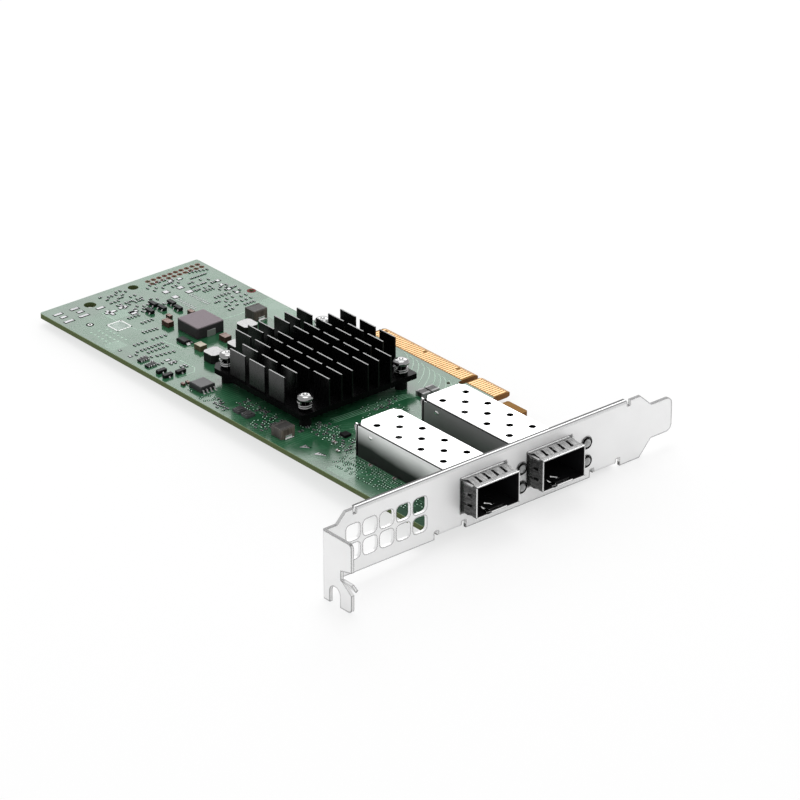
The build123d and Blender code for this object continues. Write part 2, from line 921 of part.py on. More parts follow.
def light_pipe(centre):
    """Clear moulding beside one port: two lenses, a strip, an arm and its hollow foot."""
    pipe_y = centre + lamp_offset
    strip_x = bracket_inner - pipe_strip
    lens_length = pipe_strip + sheet + lens_proud
    arm_end = strip_x - pipe_reach
    foot_length_x = lamp_length + 2 * lamp_play + 2 * pipe_foot_wall
    with BuildPart() as pipe:
        with BuildSketch(Plane.YZ.offset(strip_x)):
            with Locations(
                (pipe_y, board_top + lower_lens),
                (pipe_y, board_top + upper_lens),
            ):
                RegularPolygon(lens_diameter / 2, round_sides)
        extrude(amount=lens_length)
        chamfer(pipe.edges().group_by(Axis.X)[-1], lens_edge)
        with Locations((strip_x, pipe_y, board_top + lower_lens)):
            Box(
                pipe_strip,
                pipe_width,
                upper_lens - lower_lens,
                align=(Align.MIN, Align.CENTER, Align.MIN),
            )
        with Locations((arm_end, pipe_y, board_top + upper_lens)):
            Box(
                pipe_reach,
                pipe_width,
                pipe_width,
                align=(Align.MIN, Align.CENTER, Align.CENTER),
            )
        with Locations((arm_end, pipe_y, board_top)):
            Box(
                foot_length_x,
                pipe_width,
                upper_lens + pipe_width / 2,
                align=(Align.MIN, Align.CENTER, Align.MIN),
            )
        with Locations((arm_end + pipe_foot_wall, pipe_y, board_top)):
            Box(
                lamp_length + 2 * lamp_play,
                pipe_width,
                lamp_height + lamp_play,
                align=(Align.MIN, Align.CENTER, Align.MIN),
                mode=Mode.SUBTRACT,
            )
    return pipe.part


# Ports: cage, floor, gasket, connector, blades and light pipe of each
port_builders = (
    ("cage", cage),
    ("cage_floor", cage_floor_plate),
    ("gasket", gasket),
    ("connector", connector),
    ("contact_blades", blades),
    ("light_pipe", light_pipe),
)
for number, port_centre in enumerate(port_centres, start=1):
    for piece_name, build_piece in port_builders:
        with BuildPart() as port_piece:
            add(build_piece(port_centre))
        port_piece.part.label = f"port_{number}_{piece_name}"
        export_step(port_piece.part, f"parts/port_{number}_{piece_name}.step")

# Lamps: one in the foot of each light pipe and one behind each lower lens
with BuildPart() as status_lamps:
    for port_centre in port_centres:
        lamp_y = port_centre + lamp_offset
        foot_lamp_x = bracket_inner - pipe_strip - pipe_reach + pipe_foot_wall + lamp_play
        with Locations((foot_lamp_x, lamp_y, board_top)):
            Box(
                lamp_length,
                lamp_width,
                lamp_height,
                align=(Align.MIN, Align.CENTER, Align.MIN),
            )
        with Locations((board_end - lamp_play, lamp_y, board_top)):
            Box(
                side_lamp_depth,
                lamp_length,
                side_lamp_height,
                align=(Align.MAX, Align.CENTER, Align.MIN),
            )
status_lamps.part.label = "status_lamps"
export_step(status_lamps.part, "parts/status_lamps.step")

# Heatsink: base plate with rows of plate fins, cross-cut, and clear of the four screws
segment_length = (heatsink_size - (fin_segments - 1) * fin_gap) / fin_segments
outer_row = (heatsink_size - fin_thickness) / 2 - fin_edge
third_row = fin_middle_gap / 2 + fin_inner_pitch
outer_pitch = (outer_row - third_row) / (fin_half_rows - 2)
row_places = [fin_middle_gap / 2]
row_places += [third_row + outer_pitch * number for number in range(fin_half_rows - 1)]

with BuildPart() as heatsink:
    with BuildSketch(Plane.XY.offset(base_bottom_z)) as base_plan:
        with Locations((heatsink_x, heatsink_y)):
            Rectangle(heatsink_size, heatsink_size)
        base_corners = base_plan.vertices().sort_by(lambda corner: corner.X + corner.Y)
        chamfer(base_corners[0], base_marked_corner)
        chamfer(base_corners[1:], base_corner_chamfer)
        with Locations(*heatsink_corners):
            RegularPolygon(shank_diameter / 2 + shank_play, bore_sides, mode=Mode.SUBTRACT)
    extrude(amount=base_thickness)
    with BuildSketch(Plane.XY.offset(base_top_z)):
        for row, place in enumerate(row_places):
            for segment in range(fin_segments):
                if row >= fin_half_rows - corner_rows and segment in (0, fin_segments - 1):
                    continue
                fin_x = heatsink_x + (segment - (fin_segments - 1) / 2) * (segment_length + fin_gap)
                with Locations((fin_x, heatsink_y - place), (fin_x, heatsink_y + place)):
                    Rectangle(segment_length, fin_thickness)
    extrude(amount=fin_height)
heatsink.part.label = "heatsink"
export_step(heatsink.part, "parts/heatsink.step")

# Sprung screws at the heatsink's corners
screw_head_z = base_top_z + screw_rise - screw_head_height
with BuildPart() as heatsink_screws:
    with BuildSketch(Plane.XY.offset(screw_head_z)):
        with Locations(*heatsink_corners):
            RegularPolygon(screw_head_diameter / 2, round_sides)
    extrude(amount=screw_head_height)
    chamfer(heatsink_screws.edges().group_by(Axis.Z)[-1], head_edge)
    with BuildSketch(Plane.XY.offset(screw_head_z)):
        with Locations(*heatsink_corners):
            RegularPolygon(shank_diameter / 2, bore_sides)
    extrude(amount=board_bottom - screw_below - screw_head_z)
    with BuildSketch(Plane.XY.offset(screw_head_z + screw_head_height)):
        with Locations(*heatsink_corners):
            Rectangle(head_recess_width, shank_diameter)
            Rectangle(shank_diameter, head_recess_width)
    extrude(amount=-head_recess_depth, mode=Mode.SUBTRACT)
heatsink_screws.part.label = "heatsink_screws"
export_step(heatsink_screws.part, "parts/heatsink_screws.step")

# Springs: coils pressed close together between the base and each screw head
spring_height = screw_head_z - base_top_z - spring_play
half_turn = spring_height / spring_turns / 2
groove_slope = degrees(atan2(spring_groove, half_turn))
with BuildPart() as heatsink_springs:
    for turn in range(spring_turns):
        with BuildSketch(Plane.XY.offset(base_top_z + (2 * turn + 1) * half_turn)):
            with Locations(*heatsink_corners):
                RegularPolygon(spring_diameter / 2, bore_sides)
        extrude(amount=half_turn, both=True, taper=groove_slope)
    with BuildSketch(Plane.XY.offset(base_top_z)):
        with Locations(*heatsink_corners):
            RegularPolygon(shank_diameter / 2 + spring_play, bore_sides)
    extrude(amount=spring_height, mode=Mode.SUBTRACT)
heatsink_springs.part.label = "heatsink_springs"
export_step(heatsink_springs.part, "parts/heatsink_springs.step")

# Standoffs between the board and the heatsink's corners
with BuildPart() as heatsink_standoffs:
    with BuildSketch(Plane.XY.offset(board_top)):
        with Locations(*heatsink_corners):
            RegularPolygon(standoff_diameter / 2, round_sides)
            RegularPolygon(shank_diameter / 2 + shank_play, bore_sides, mode=Mode.SUBTRACT)
    extrude(amount=base_level)
heatsink_standoffs.part.label = "heatsink_standoffs"
export_step(heatsink_standoffs.part, "parts/heatsink_standoffs.step")

# Controller chip and the thermal pad between its lid and the heatsink
chip_height = base_level - thermal_pad_thickness
lid_size = chip_size - 2 * chip_lid_inset
with BuildPart() as controller_chip:
    with BuildSketch(Plane.XY.offset(board_top)):
        with Locations((heatsink_x, heatsink_y)):
            Rectangle(chip_size, chip_size)
    extrude(amount=chip_carrier_height)
    with BuildSketch(Plane.XY.offset(board_top + chip_carrier_height)):
        with Locations((heatsink_x, heatsink_y)):
            Rectangle(lid_size, lid_size)
    extrude(amount=chip_height - chip_carrier_height)
controller_chip.part.label = "controller_chip"
export_step(controller_chip.part, "parts/controller_chip.step")

with BuildPart() as thermal_pad:
    with BuildSketch(Plane.XY.offset(board_top + chip_height)):
        with Locations((heatsink_x, heatsink_y)):
            Rectangle(lid_size, lid_size)
    extrude(amount=thermal_pad_thickness)
thermal_pad.part.label = "thermal_pad"
export_step(thermal_pad.part, "parts/thermal_pad.step")

# Power choke and its two wrapped terminals
choke_x, choke_y = on_board(choke_place)
with BuildPart() as power_choke:
    with BuildSketch(Plane.XY.offset(board_top + terminal_thickness)) as choke_plan:
        with Locations((choke_x, choke_y)):
            Rectangle(choke_length, choke_width)
        fillet(choke_plan.vertices(), choke_corner)
    extrude(amount=choke_height - terminal_thickness)
    chamfer(power_choke.faces().sort_by(Axis.Z)[-1].edges(), choke_edge)
power_choke.part.label = "power_choke"
export_step(power_choke.part, "parts/power_choke.step")

with BuildPart() as choke_terminals:
    with BuildSketch(Plane.XZ.offset(-choke_y)):
        for side in (-1, 1):
            face_x = choke_x + side * choke_length / 2
            with BuildLine():
                Polyline(
                    (face_x, board_top + choke_terminal_height),
                    (face_x + side * terminal_thickness, board_top + choke_terminal_height),
                    (face_x + side * terminal_thickness, board_top),
                    (face_x - side * choke_terminal_foot, board_top),
                    (face_x - side * choke_terminal_foot, board_top + terminal_thickness),
                    (face_x, board_top + terminal_thickness),
                    close=True,
                )
            make_face()
    extrude(amount=choke_terminal_width / 2, both=True)
choke_terminals.part.label = "choke_terminals"
export_step(choke_terminals.part, "parts/choke_terminals.step")

# Small inductors on flat feet
inductor_points = [on_board(place) for place in inductor_places]
with BuildPart() as small_inductors:
    with BuildSketch(Plane.XY.offset(board_top + terminal_thickness)) as inductor_plan:
        with Locations(*inductor_points):
            Rectangle(inductor_size, inductor_size)
        chamfer(inductor_plan.vertices(), inductor_corner)
    extrude(amount=inductor_height - terminal_thickness)
small_inductors.part.label = "small_inductors"
export_step(small_inductors.part, "parts/small_inductors.step")

with BuildPart() as inductor_feet:
    with BuildSketch(Plane.XY.offset(board_top)):
        for x, y in inductor_points:
            for side in (-1, 1):
                with Locations((x + side * (inductor_size - inductor_foot) / 2, y)):
                    Rectangle(inductor_foot, inductor_size - 2 * inductor_corner)
    extrude(amount=terminal_thickness)
inductor_feet.part.label = "inductor_feet"
export_step(inductor_feet.part, "parts/inductor_feet.step")


def chip_bodies(places):
    """Blocks between the end caps of chip parts: place, length, width and height of each."""
    for along, across, length, width, height in places:
        cap = length * ceramic_cap_share
        with Locations((*on_board((along, across)), board_top + ceramic_cap_proud)):
            Box(
                length - 2 * cap,
                width,
                height - ceramic_cap_proud,
                align=(Align.CENTER, Align.CENTER, Align.MIN),
            )


def chip_caps(places):
    """End caps of chip parts, a little proud of the block between them."""
    for along, across, length, width, height in places:
        cap = length * ceramic_cap_share
        x, y = on_board((along, across))
        for side in (-1, 1):
            with Locations((x + side * (length - cap) / 2, y, board_top)):
                Box(
                    cap,
                    width + 2 * ceramic_cap_proud,
                    height + ceramic_cap_proud,
                    align=(Align.CENTER, Align.CENTER, Align.MIN),
                )


bulk_list = [
    (along, across, bulk_length, bulk_width, bulk_height) for along, across in bulk_places
]

with BuildPart() as bulk_capacitors:
    chip_bodies(bulk_list)
bulk_capacitors.part.label = "bulk_capacitors"
export_step(bulk_capacitors.part, "parts/bulk_capacitors.step")

with BuildPart() as ceramic_capacitors:
    chip_bodies(ceramic_list)
ceramic_capacitors.part.label = "ceramic_capacitors"
export_step(ceramic_capacitors.part, "parts/ceramic_capacitors.step")

with BuildPart() as bulk_capacitor_caps:
    chip_caps(bulk_list)
    for place in bulk_places:
        for side in (-1, 1):
            end_x = on_board(place)[0] + side * bulk_length / 2
            end_edges = bulk_capacitor_caps.edges().filter_by_position(Axis.X, end_x - touch, end_x + touch)
            chamfer(end_edges.filter_by(lambda edge: edge.center().Z > board_top + bulk_edge), bulk_edge)
bulk_capacitor_caps.part.label = "bulk_capacitor_caps"
export_step(bulk_capacitor_caps.part, "parts/bulk_capacitor_caps.step")

with BuildPart() as capacitor_end_caps:
    chip_caps(ceramic_list)
capacitor_end_caps.part.label = "capacitor_end_caps"
export_step(capacitor_end_caps.part, "parts/capacitor_end_caps.step")


def bent_lead(root, heading, reach, level, width):
    """Gull-wing lead from a body's side out and down to the board, along a heading."""
    outward = (cos(radians(heading)), sin(radians(heading)), 0)
    sideways = (sin(radians(heading)), -cos(radians(heading)), 0)
    with BuildSketch(Plane(origin=(*root, board_top), x_dir=outward, z_dir=sideways)) as lead:
        with BuildLine():
            Polyline(
                (0, level),
                (lead_bends[1] * reach, level),
                (lead_bends[3] * reach, lead_thickness),
                (reach, lead_thickness),
                (reach, 0),
                (lead_bends[2] * reach, 0),
                (lead_bends[0] * reach, level - lead_thickness),
                (0, level - lead_thickness),
                close=True,
            )
        make_face()
    extrude(lead.sketch, amount=width / 2, both=True)


# Flash memory chip with four leads on each side
flash_x, flash_y = on_board(flash_place)
with BuildPart() as flash_chip:
    with Locations((flash_x, flash_y, board_top + body_lift)):
        Box(
            flash_length,
            flash_width,
            flash_height - body_lift,
            align=(Align.CENTER, Align.CENTER, Align.MIN),
        )
    chamfer(flash_chip.faces().sort_by(Axis.Z)[-1].edges(), body_draft)
flash_chip.part.label = "flash_chip"
export_step(flash_chip.part, "parts/flash_chip.step")

with BuildPart() as flash_chip_leads:
    for number in range(flash_leads):
        lead_y = flash_y + (number - (flash_leads - 1) / 2) * flash_lead_pitch
        for heading, side in ((0, 1), (180, -1)):
            root = (flash_x + side * flash_length / 2, lead_y)
            bent_lead(root, heading, flash_lead_reach, flash_height / 2, flash_lead_width)
flash_chip_leads.part.label = "flash_chip_leads"
export_step(flash_chip_leads.part, "parts/flash_chip_leads.step")

# Transistors: two leads on one side and one on the other
with BuildPart() as transistors:
    for along, across, turned in transistor_list:
        length, width = transistor_length, transistor_width
        if turned:
            length, width = width, length
        with Locations((*on_board((along, across)), board_top + body_lift)):
            Box(
                length,
                width,
                transistor_height - body_lift,
                align=(Align.CENTER, Align.CENTER, Align.MIN),
            )
transistors.part.label = "transistors"
export_step(transistors.part, "parts/transistors.step")

with BuildPart() as transistor_leads:
    for along, across, turned in transistor_list:
        x, y = on_board((along, across))
        for side, shifts in ((-1, (-transistor_lead_pitch, transistor_lead_pitch)), (1, (0,))):
            for shift in shifts:
                if turned:
                    root = (x + side * transistor_width / 2, y + shift)
                    heading = 0 if side > 0 else 180
                else:
                    root = (x + shift, y + side * transistor_width / 2)
                    heading = 90 * side
                bent_lead(
                    root,
                    heading,
                    transistor_lead_reach,
                    transistor_height / 2,
                    transistor_lead_width,
                )
transistor_leads.part.label = "transistor_leads"
export_step(transistor_leads.part, "parts/transistor_leads.step")

# Resistor networks with pads along both long sides
with BuildPart() as resistor_networks:
    with BuildSketch(Plane.XY.offset(board_top)):
        with Locations(*[on_board(place) for place in network_places]):
            Rectangle(network_width, network_length)
    extrude(amount=network_height)
resistor_networks.part.label = "resistor_networks"
export_step(resistor_networks.part, "parts/resistor_networks.step")

network_pad_pitch = network_length / network_pads
with BuildPart() as network_terminals:
    with BuildSketch(Plane.XY.offset(board_top)):
        for x, y in [on_board(place) for place in network_places]:
            for side in (-1, 1):
                pad_x = x + side * (network_width + terminal_thickness) / 2
                for number in range(network_pads):
                    pad_y = y + (number - (network_pads - 1) / 2) * network_pad_pitch
                    with Locations((pad_x, pad_y)):
                        Rectangle(terminal_thickness, network_pad_pitch / 2)
    extrude(amount=network_height)
network_terminals.part.label = "network_terminals"
export_step(network_terminals.part, "parts/network_terminals.step")

# Diode and its flat leads
diode_x, diode_y = on_board(diode_place)
with BuildPart() as diode:
    with Locations((diode_x, diode_y, board_top + body_lift)):
        Box(
            diode_length,
            diode_width,
            diode_height - body_lift,
            align=(Align.CENTER, Align.CENTER, Align.MIN),
        )
    chamfer(diode.faces().sort_by(Axis.Z)[-1].edges(), body_draft)
diode.part.label = "diode"
export_step(diode.part, "parts/diode.step")

with BuildPart() as diode_leads:
    for heading, side in ((0, 1), (180, -1)):
        root = (diode_x + side * diode_length / 2, diode_y)
        bent_lead(root, heading, diode_lead_reach, diode_height / 2, diode_width / 2)
diode_leads.part.label = "diode_leads"
export_step(diode_leads.part, "parts/diode_leads.step")

# Clock crystals: ceramic tubs under metal lids
crystal_points = [on_board(place) for place in crystal_places]
with BuildPart() as clock_crystals:
    with BuildSketch(Plane.XY.offset(board_top)):
        with Locations(*crystal_points):
            Rectangle(crystal_length, crystal_width)
    extrude(amount=crystal_height - crystal_lid_height)
clock_crystals.part.label = "clock_crystals"
export_step(clock_crystals.part, "parts/clock_crystals.step")

with BuildPart() as crystal_lids:
    with BuildSketch(Plane.XY.offset(board_top + crystal_height - crystal_lid_height)) as lid_plan:
        with Locations(*crystal_points):
            Rectangle(
                crystal_length - 2 * crystal_lid_inset,
                crystal_width - 2 * crystal_lid_inset,
            )
        chamfer(lid_plan.vertices(), crystal_lid_inset)
    extrude(amount=crystal_lid_height)
crystal_lids.part.label = "crystal_lids"
export_step(crystal_lids.part, "parts/crystal_lids.step")

# Filters behind the second port
filter_list = [
    (along, across, filter_length, filter_width, filter_height)
    for along, across in filter_places
]
with BuildPart() as line_filters:
    chip_bodies(filter_list)
line_filters.part.label = "line_filters"
export_step(line_filters.part, "parts/line_filters.step")

with BuildPart() as filter_end_caps:
    chip_caps(filter_list)
filter_end_caps.part.label = "filter_end_caps"
export_step(filter_end_caps.part, "parts/filter_end_caps.step")

# Small logic chip beside the first port
with BuildPart() as logic_chip:
    with Locations((*on_board(logic_place), board_top)):
        Box(
            logic_size,
            logic_size,
            logic_height,
            align=(Align.CENTER, Align.CENTER, Align.MIN),
        )
    chamfer(logic_chip.faces().sort_by(Axis.Z)[-1].edges(), body_draft / 2)
logic_chip.part.label = "logic_chip"
export_step(logic_chip.part, "parts/logic_chip.step")
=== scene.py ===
"""Looks of the network interface card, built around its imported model."""

import json
import math
import random

import bmesh
import bpy
from mathutils import Matrix, Vector


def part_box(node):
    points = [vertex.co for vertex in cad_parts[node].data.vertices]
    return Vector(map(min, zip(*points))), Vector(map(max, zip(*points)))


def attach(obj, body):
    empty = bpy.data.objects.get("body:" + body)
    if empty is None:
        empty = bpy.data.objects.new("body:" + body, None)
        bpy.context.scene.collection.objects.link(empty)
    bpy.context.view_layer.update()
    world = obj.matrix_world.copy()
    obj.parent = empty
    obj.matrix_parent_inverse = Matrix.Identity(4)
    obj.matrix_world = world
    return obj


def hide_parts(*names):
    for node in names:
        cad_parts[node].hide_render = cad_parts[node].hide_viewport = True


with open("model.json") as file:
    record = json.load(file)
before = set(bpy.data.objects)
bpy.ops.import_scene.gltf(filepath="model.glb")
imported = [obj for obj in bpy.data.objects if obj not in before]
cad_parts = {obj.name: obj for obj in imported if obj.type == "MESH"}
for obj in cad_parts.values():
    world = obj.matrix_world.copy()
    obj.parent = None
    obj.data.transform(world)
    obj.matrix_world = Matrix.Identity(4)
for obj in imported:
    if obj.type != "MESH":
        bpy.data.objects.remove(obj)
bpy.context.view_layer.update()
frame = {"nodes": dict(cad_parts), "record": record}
nodes = frame["nodes"]
slot_of = {part["node"]: part["material_slot"] for part in frame["record"]["subparts"]}
scene = bpy.context.scene
scene.view_settings.view_transform = "Standard"

# Places that the pieces share, in millimetres
MM = 0.001
board_top = 0.785
board_bottom = -0.785
free_edge = -68.9
bracket_inner = 57.15
bracket_outer = 58.01
port_front = 63.75
port_centres = (-49.5, -26.64)
cage_width = 14.4
cage_low = board_top + 0.95
cage_top = board_top + 9.8
cage_rear = port_front - 48.9


# Camera at the photograph's view
def make_camera():
    azimuth = math.radians(49.856)
    elevation = math.radians(26.556)
    data = bpy.data.cameras.new("camera")
    data.lens = 199.23
    data.sensor_width = 36.0
    data.clip_start = 0.05
    data.clip_end = 50.0
    camera = bpy.data.objects.new("camera", data)
    scene.collection.objects.link(camera)
    level = math.cos(elevation)
    back = Vector((math.sin(azimuth) * level, -math.cos(azimuth) * level, math.sin(elevation)))
    camera.location = Vector((819.48, -720.00, 538.35)) * MM
    camera.rotation_euler = (-back).to_track_quat("-Z", "Y").to_euler()
    scene.camera = camera


make_camera()


# Shader helpers
def grey(value):
    return (value, value, value)


def add_node(beside, kind, inputs=None, **settings):
    """New node in the tree of another node or socket, or in a tree itself."""
    tree = beside.id_data
    made = tree.nodes.new(kind)
    for key, value in settings.items():
        setattr(made, key, value)
    for key, value in (inputs or {}).items():
        if isinstance(value, bpy.types.NodeSocket):
            tree.links.new(value, made.inputs[key])
        else:
            made.inputs[key].default_value = value
    return made


def new_look(name):
    """Material, its shader, and Object coordinates whole and split into x, y and z."""
    material = bpy.data.materials.new(name)
    material.use_nodes = True
    tree = material.node_tree
    tree.nodes.clear()
    shader = add_node(tree, "ShaderNodeBsdfPrincipled")
    out = add_node(tree, "ShaderNodeOutputMaterial")
    tree.links.new(shader.outputs[0], out.inputs[0])
    vector = add_node(tree, "ShaderNodeTexCoord").outputs["Object"]
    place = add_node(tree, "ShaderNodeSeparateXYZ", {0: vector}).outputs
    return material, shader, vector, place


def set_input(node, name, value):
    """Links a socket, or sets a number or a colour given as three numbers."""
    if isinstance(value, bpy.types.NodeSocket):
        node.id_data.links.new(value, node.inputs[name])
    else:
        node.inputs[name].default_value = (*value, 1) if isinstance(value, tuple) else value


def stretched(vector, scale):
    return add_node(vector, "ShaderNodeVectorMath", {0: vector, 1: scale}, operation="MULTIPLY").outputs[0]


def grain(vector, scale, detail=3.0, rough=0.5):
    """Noise from 0 to 1; scale is in features per metre."""
    inputs = {"Vector": vector, "Scale": scale, "Detail": detail, "Roughness": rough}
    return add_node(vector, "ShaderNodeTexNoise", inputs).outputs["Fac"]


def ranged(value, low, high, to_low=0.0, to_high=1.0):
    inputs = {"Value": value, "From Min": low, "From Max": high, "To Min": to_low, "To Max": to_high}
    return add_node(value, "ShaderNodeMapRange", inputs).outputs[0]


def past(value, start, end):
    """0 before start and 1 after end of a coordinate, both in millimetres."""
    return ranged(value, start * MM, end * MM)


def maths(kind, a, b=0.0):
    return add_node(a, "ShaderNodeMath", {0: a, 1: b}, operation=kind).outputs[0]


def times(share, *others):
    for other in others:
        share = maths("MULTIPLY", share, other)
    return share


def largest(share, *others):
    for other in others:
        share = maths("MAXIMUM", share, other)
    return share


def distance(value, middle=0.0):
    """How far a value lies from a middle, on either side."""
    return maths("ABSOLUTE", maths("SUBTRACT", value, middle))


def blended(share, a, b):
    made = add_node(share, "ShaderNodeMix", data_type="RGBA")
    for index, value in ((0, share), (6, a), (7, b)):
        set_input(made, index, value)
    return made.outputs[2]


def speckled(fine, dark, light):
    """Two colours mixed by a noise, whose middle stretch is spread from 0 to 1."""
    return blended(ranged(fine, 0.3, 0.7), dark, light)


def normal_of(beside):
    """Direction that the surface faces, split into x, y and z."""
    normal = add_node(beside, "ShaderNodeNewGeometry").outputs["True Normal"]
    return add_node(beside, "ShaderNodeSeparateXYZ", {0: normal}).outputs


def rounded_normal(beside, radius):
    return add_node(beside, "ShaderNodeBevel", {"Radius": radius * MM}, samples=4).outputs[0]


def edge_share(beside, radius, sharp=0.25):
    """1 along the sharp edges of a piece, falling to 0 a radius away."""
    soft = rounded_normal(beside, radius)
    true = add_node(beside, "ShaderNodeNewGeometry").outputs["True Normal"]
    dot = add_node(beside, "ShaderNodeVectorMath", {0: soft, 1: true}, operation="DOT_PRODUCT")
    return ranged(dot.outputs["Value"], 1.0, 1.0 - sharp)


def edged(colour, edge, radius, strength=1.0, sharp=0.25):
    """Colour with another one along the sharp edges."""
    return blended(times(edge_share(colour, radius, sharp), strength), colour, edge)


def bumped(height, distance_mm, strength, normal=None):
    inputs = {"Height": height, "Distance": distance_mm * MM, "Strength": strength}
    if normal is not None:
        inputs["Normal"] = normal
    return add_node(height, "ShaderNodeBump", inputs).outputs[0]


def set_surface(shader, colour, fine, rough, bump, radius=None, specular=0.5, metal=0.0):
    """Colour, gloss that follows the grain, and bump (depth, strength) over rounded edges."""
    set_input(shader, "Base Color", colour)
    set_input(shader, "Roughness", ranged(fine, 0.3, 0.7, *rough))
    set_input(shader, "Specular IOR Level", specular)
    set_input(shader, "Metallic", metal)
    soft = rounded_normal(shader, radius) if radius else None
    set_input(shader, "Normal", bumped(fine, *bump, soft))


def dull_look(name, dark, light, rough, edge=None, scale=4000.0, specular=0.5):
    """Moulded or fired piece: fine grain between two colours, edges caught by light."""
    material, shader, vector, _ = new_look(name)
    radius = 0.15
    fine = grain(vector, scale)
    broad = grain(vector, 250.0, 2.0)
    colour = blended(ranged(maths("ADD", fine, broad), 0.6, 1.4), dark, light)
    if edge:
        colour = edged(colour, edge, radius)
    set_surface(shader, colour, fine, (rough - 0.06, rough + 0.06), (0.02, 0.6), radius, specular)
    return material


def metal_look(name, dark, light, rough, edge, brush=(1, 1, 1), radius=0.2, metal=1.0):
    """Plated sheet or pin: soft cloudy sheen, fine brushed grain and edges of another tone."""
    material, shader, vector, _ = new_look(name)
    fine = grain(stretched(vector, brush), 3000.0, 4.0, 0.6)
    colour = speckled(grain(vector, 60.0, 3.0), dark, light)
    colour = edged(colour, edge, radius, 0.7)
    set_surface(shader, colour, fine, (rough - 0.05, rough + 0.05), (0.004, 0.4), radius, metal=metal)
    return material


def box_share(place, low, high, soft=0.15):
    """1 inside a rectangle of the board, given in millimetres."""
    sides = []
    for axis in (0, 1):
        for sign, limit in ((1, low[axis]), (-1, high[axis])):
            sides.append(past(place[axis], limit - soft * sign, limit + soft * sign))
    return times(*sides)


# Rectangles of the board by two corners: paler copper areas, bare windows, and the corner by the bracket,
# seen through its vents, that painted shade darkens
pale_pours = (
    ((-99.0, -55.4), (-93.0, -49.2)),
    ((-82.0, -68.0), (-77.5, -62.5)),
    ((-76.0, -21.0), (-62.0, -13.0)),
    ((15.5, -67.5), (24.0, -61.0)),
    ((8.5, -40.0), (13.5, -14.0)),
)
contact_windows = (((-40.4, -5.95), (12.9, 0.5)), ((16.2, -8.6), (25.0, -4.0)))
bracket_shade_box = ((43.0, -72.0), (60.0, -54.5))
# The one ceramic capacitor that is cream
cream_place = ((-65.0, -50.5), (-60.5, -46.5))


def routed(vector):
    """Patches of fine parallel lines, straight and at 45 degrees."""
    patches = []
    for turn, offset in ((0.0, 0.0), (0.785, 7.0)):
        inputs = {"Vector": vector, "Angle": turn}
        turned = add_node(vector, "ShaderNodeVectorRotate", inputs, rotation_type="Z_AXIS").outputs[0]
        inputs = {"Vector": turned, "Scale": 320.0, "Distortion": 1.2, "Detail": 1.0}
        inputs["Phase Offset"] = offset
        lines = add_node(vector, "ShaderNodeTexWave", inputs, wave_profile="SIN").outputs["Fac"]
        where = ranged(grain(turned, 90.0 + offset, 1.0), 0.52, 0.56)
        patches.append(times(ranged(lines, 0.62, 0.72), where))
    return largest(*patches)


def cut_laminate(vector, place):
    """Layered olive side of the board, paler at its upper rim and brown on the contact tongues."""
    inputs = {"Vector": vector, "Scale": 950.0, "Distortion": 0.6}
    layer = add_node(vector, "ShaderNodeTexWave", inputs, bands_direction="Z").outputs["Fac"]
    olive = blended(ranged(layer, 0.2, 0.9), (0.060, 0.082, 0.026), (0.115, 0.145, 0.060))
    rim = past(place[2], board_top - 0.22, board_top - 0.05)
    olive = blended(rim, olive, (0.26, 0.36, 0.20))
    tongue = past(place[1], -9.5, -9.0)
    return blended(tongue, olive, (0.21, 0.095, 0.028))


def board_look(name):
    """Green solder mask over copper pours and routing, bare laminate at the cut sides, and painted shade on
    the corner by the bracket.
    """
    material, shader, vector, place = new_look(name)
    mask = (0.014, 0.082, 0.034)
    pour = (0.028, 0.118, 0.056)
    pale_track = (0.060, 0.175, 0.095)
    pale_pour = (0.105, 0.235, 0.150)
    shaded = (0.026, 0.027, 0.026)
    broad = grain(vector, 45.0, 3.0)
    colour = blended(ranged(broad, 0.42, 0.6), mask, pour)
    inputs = {"Vector": stretched(vector, (1.0, 1.4, 0.0)), "Scale": 210.0, "Randomness": 0.75}
    cells = add_node(vector, "ShaderNodeTexVoronoi", inputs, distance="CHEBYCHEV")
    tone = add_node(vector, "ShaderNodeSeparateColor", {0: cells.outputs["Color"]}).outputs[0]
    colour = blended(ranged(tone, 0.60, 0.64, 0.0, 0.55), colour, pour)
    routing = routed(vector)
    colour = blended(times(routing, 0.45), colour, pale_track)
    for low, high in pale_pours:
        share = times(box_share(place, low, high, 0.05), 0.6)
        colour = blended(share, colour, pale_pour)
    bare = blended(grain(vector, 900.0), (0.22, 0.100, 0.016), (0.32, 0.16, 0.030))
    window = largest(*[box_share(place, *corners, 0.05) for corners in contact_windows])
    colour = blended(window, colour, bare)
    # Painted shade: the corner by the bracket is mixed halfway to dark grey, and loses its sheen, as if in
    # the bracket's shadow
    bracket_shade = box_share(place, *bracket_shade_box, 1.5)
    colour = blended(times(bracket_shade, 0.5), colour, shaded)
    side = ranged(distance(normal_of(vector)[2]), 0.75, 0.6)
    colour = blended(side, colour, cut_laminate(vector, place))
    set_input(shader, "Base Color", colour)
    matt = largest(side, window, bracket_shade)
    set_input(shader, "Roughness", ranged(matt, 0, 1, 0.17, 0.6))
    set_input(shader, "Specular IOR Level", ranged(matt, 0, 1, 0.52, 0.1))
    relief = maths("ADD", routing, times(grain(vector, 700.0), 0.5))
    set_input(shader, "Normal", bumped(relief, 0.018, 0.7))
    return material


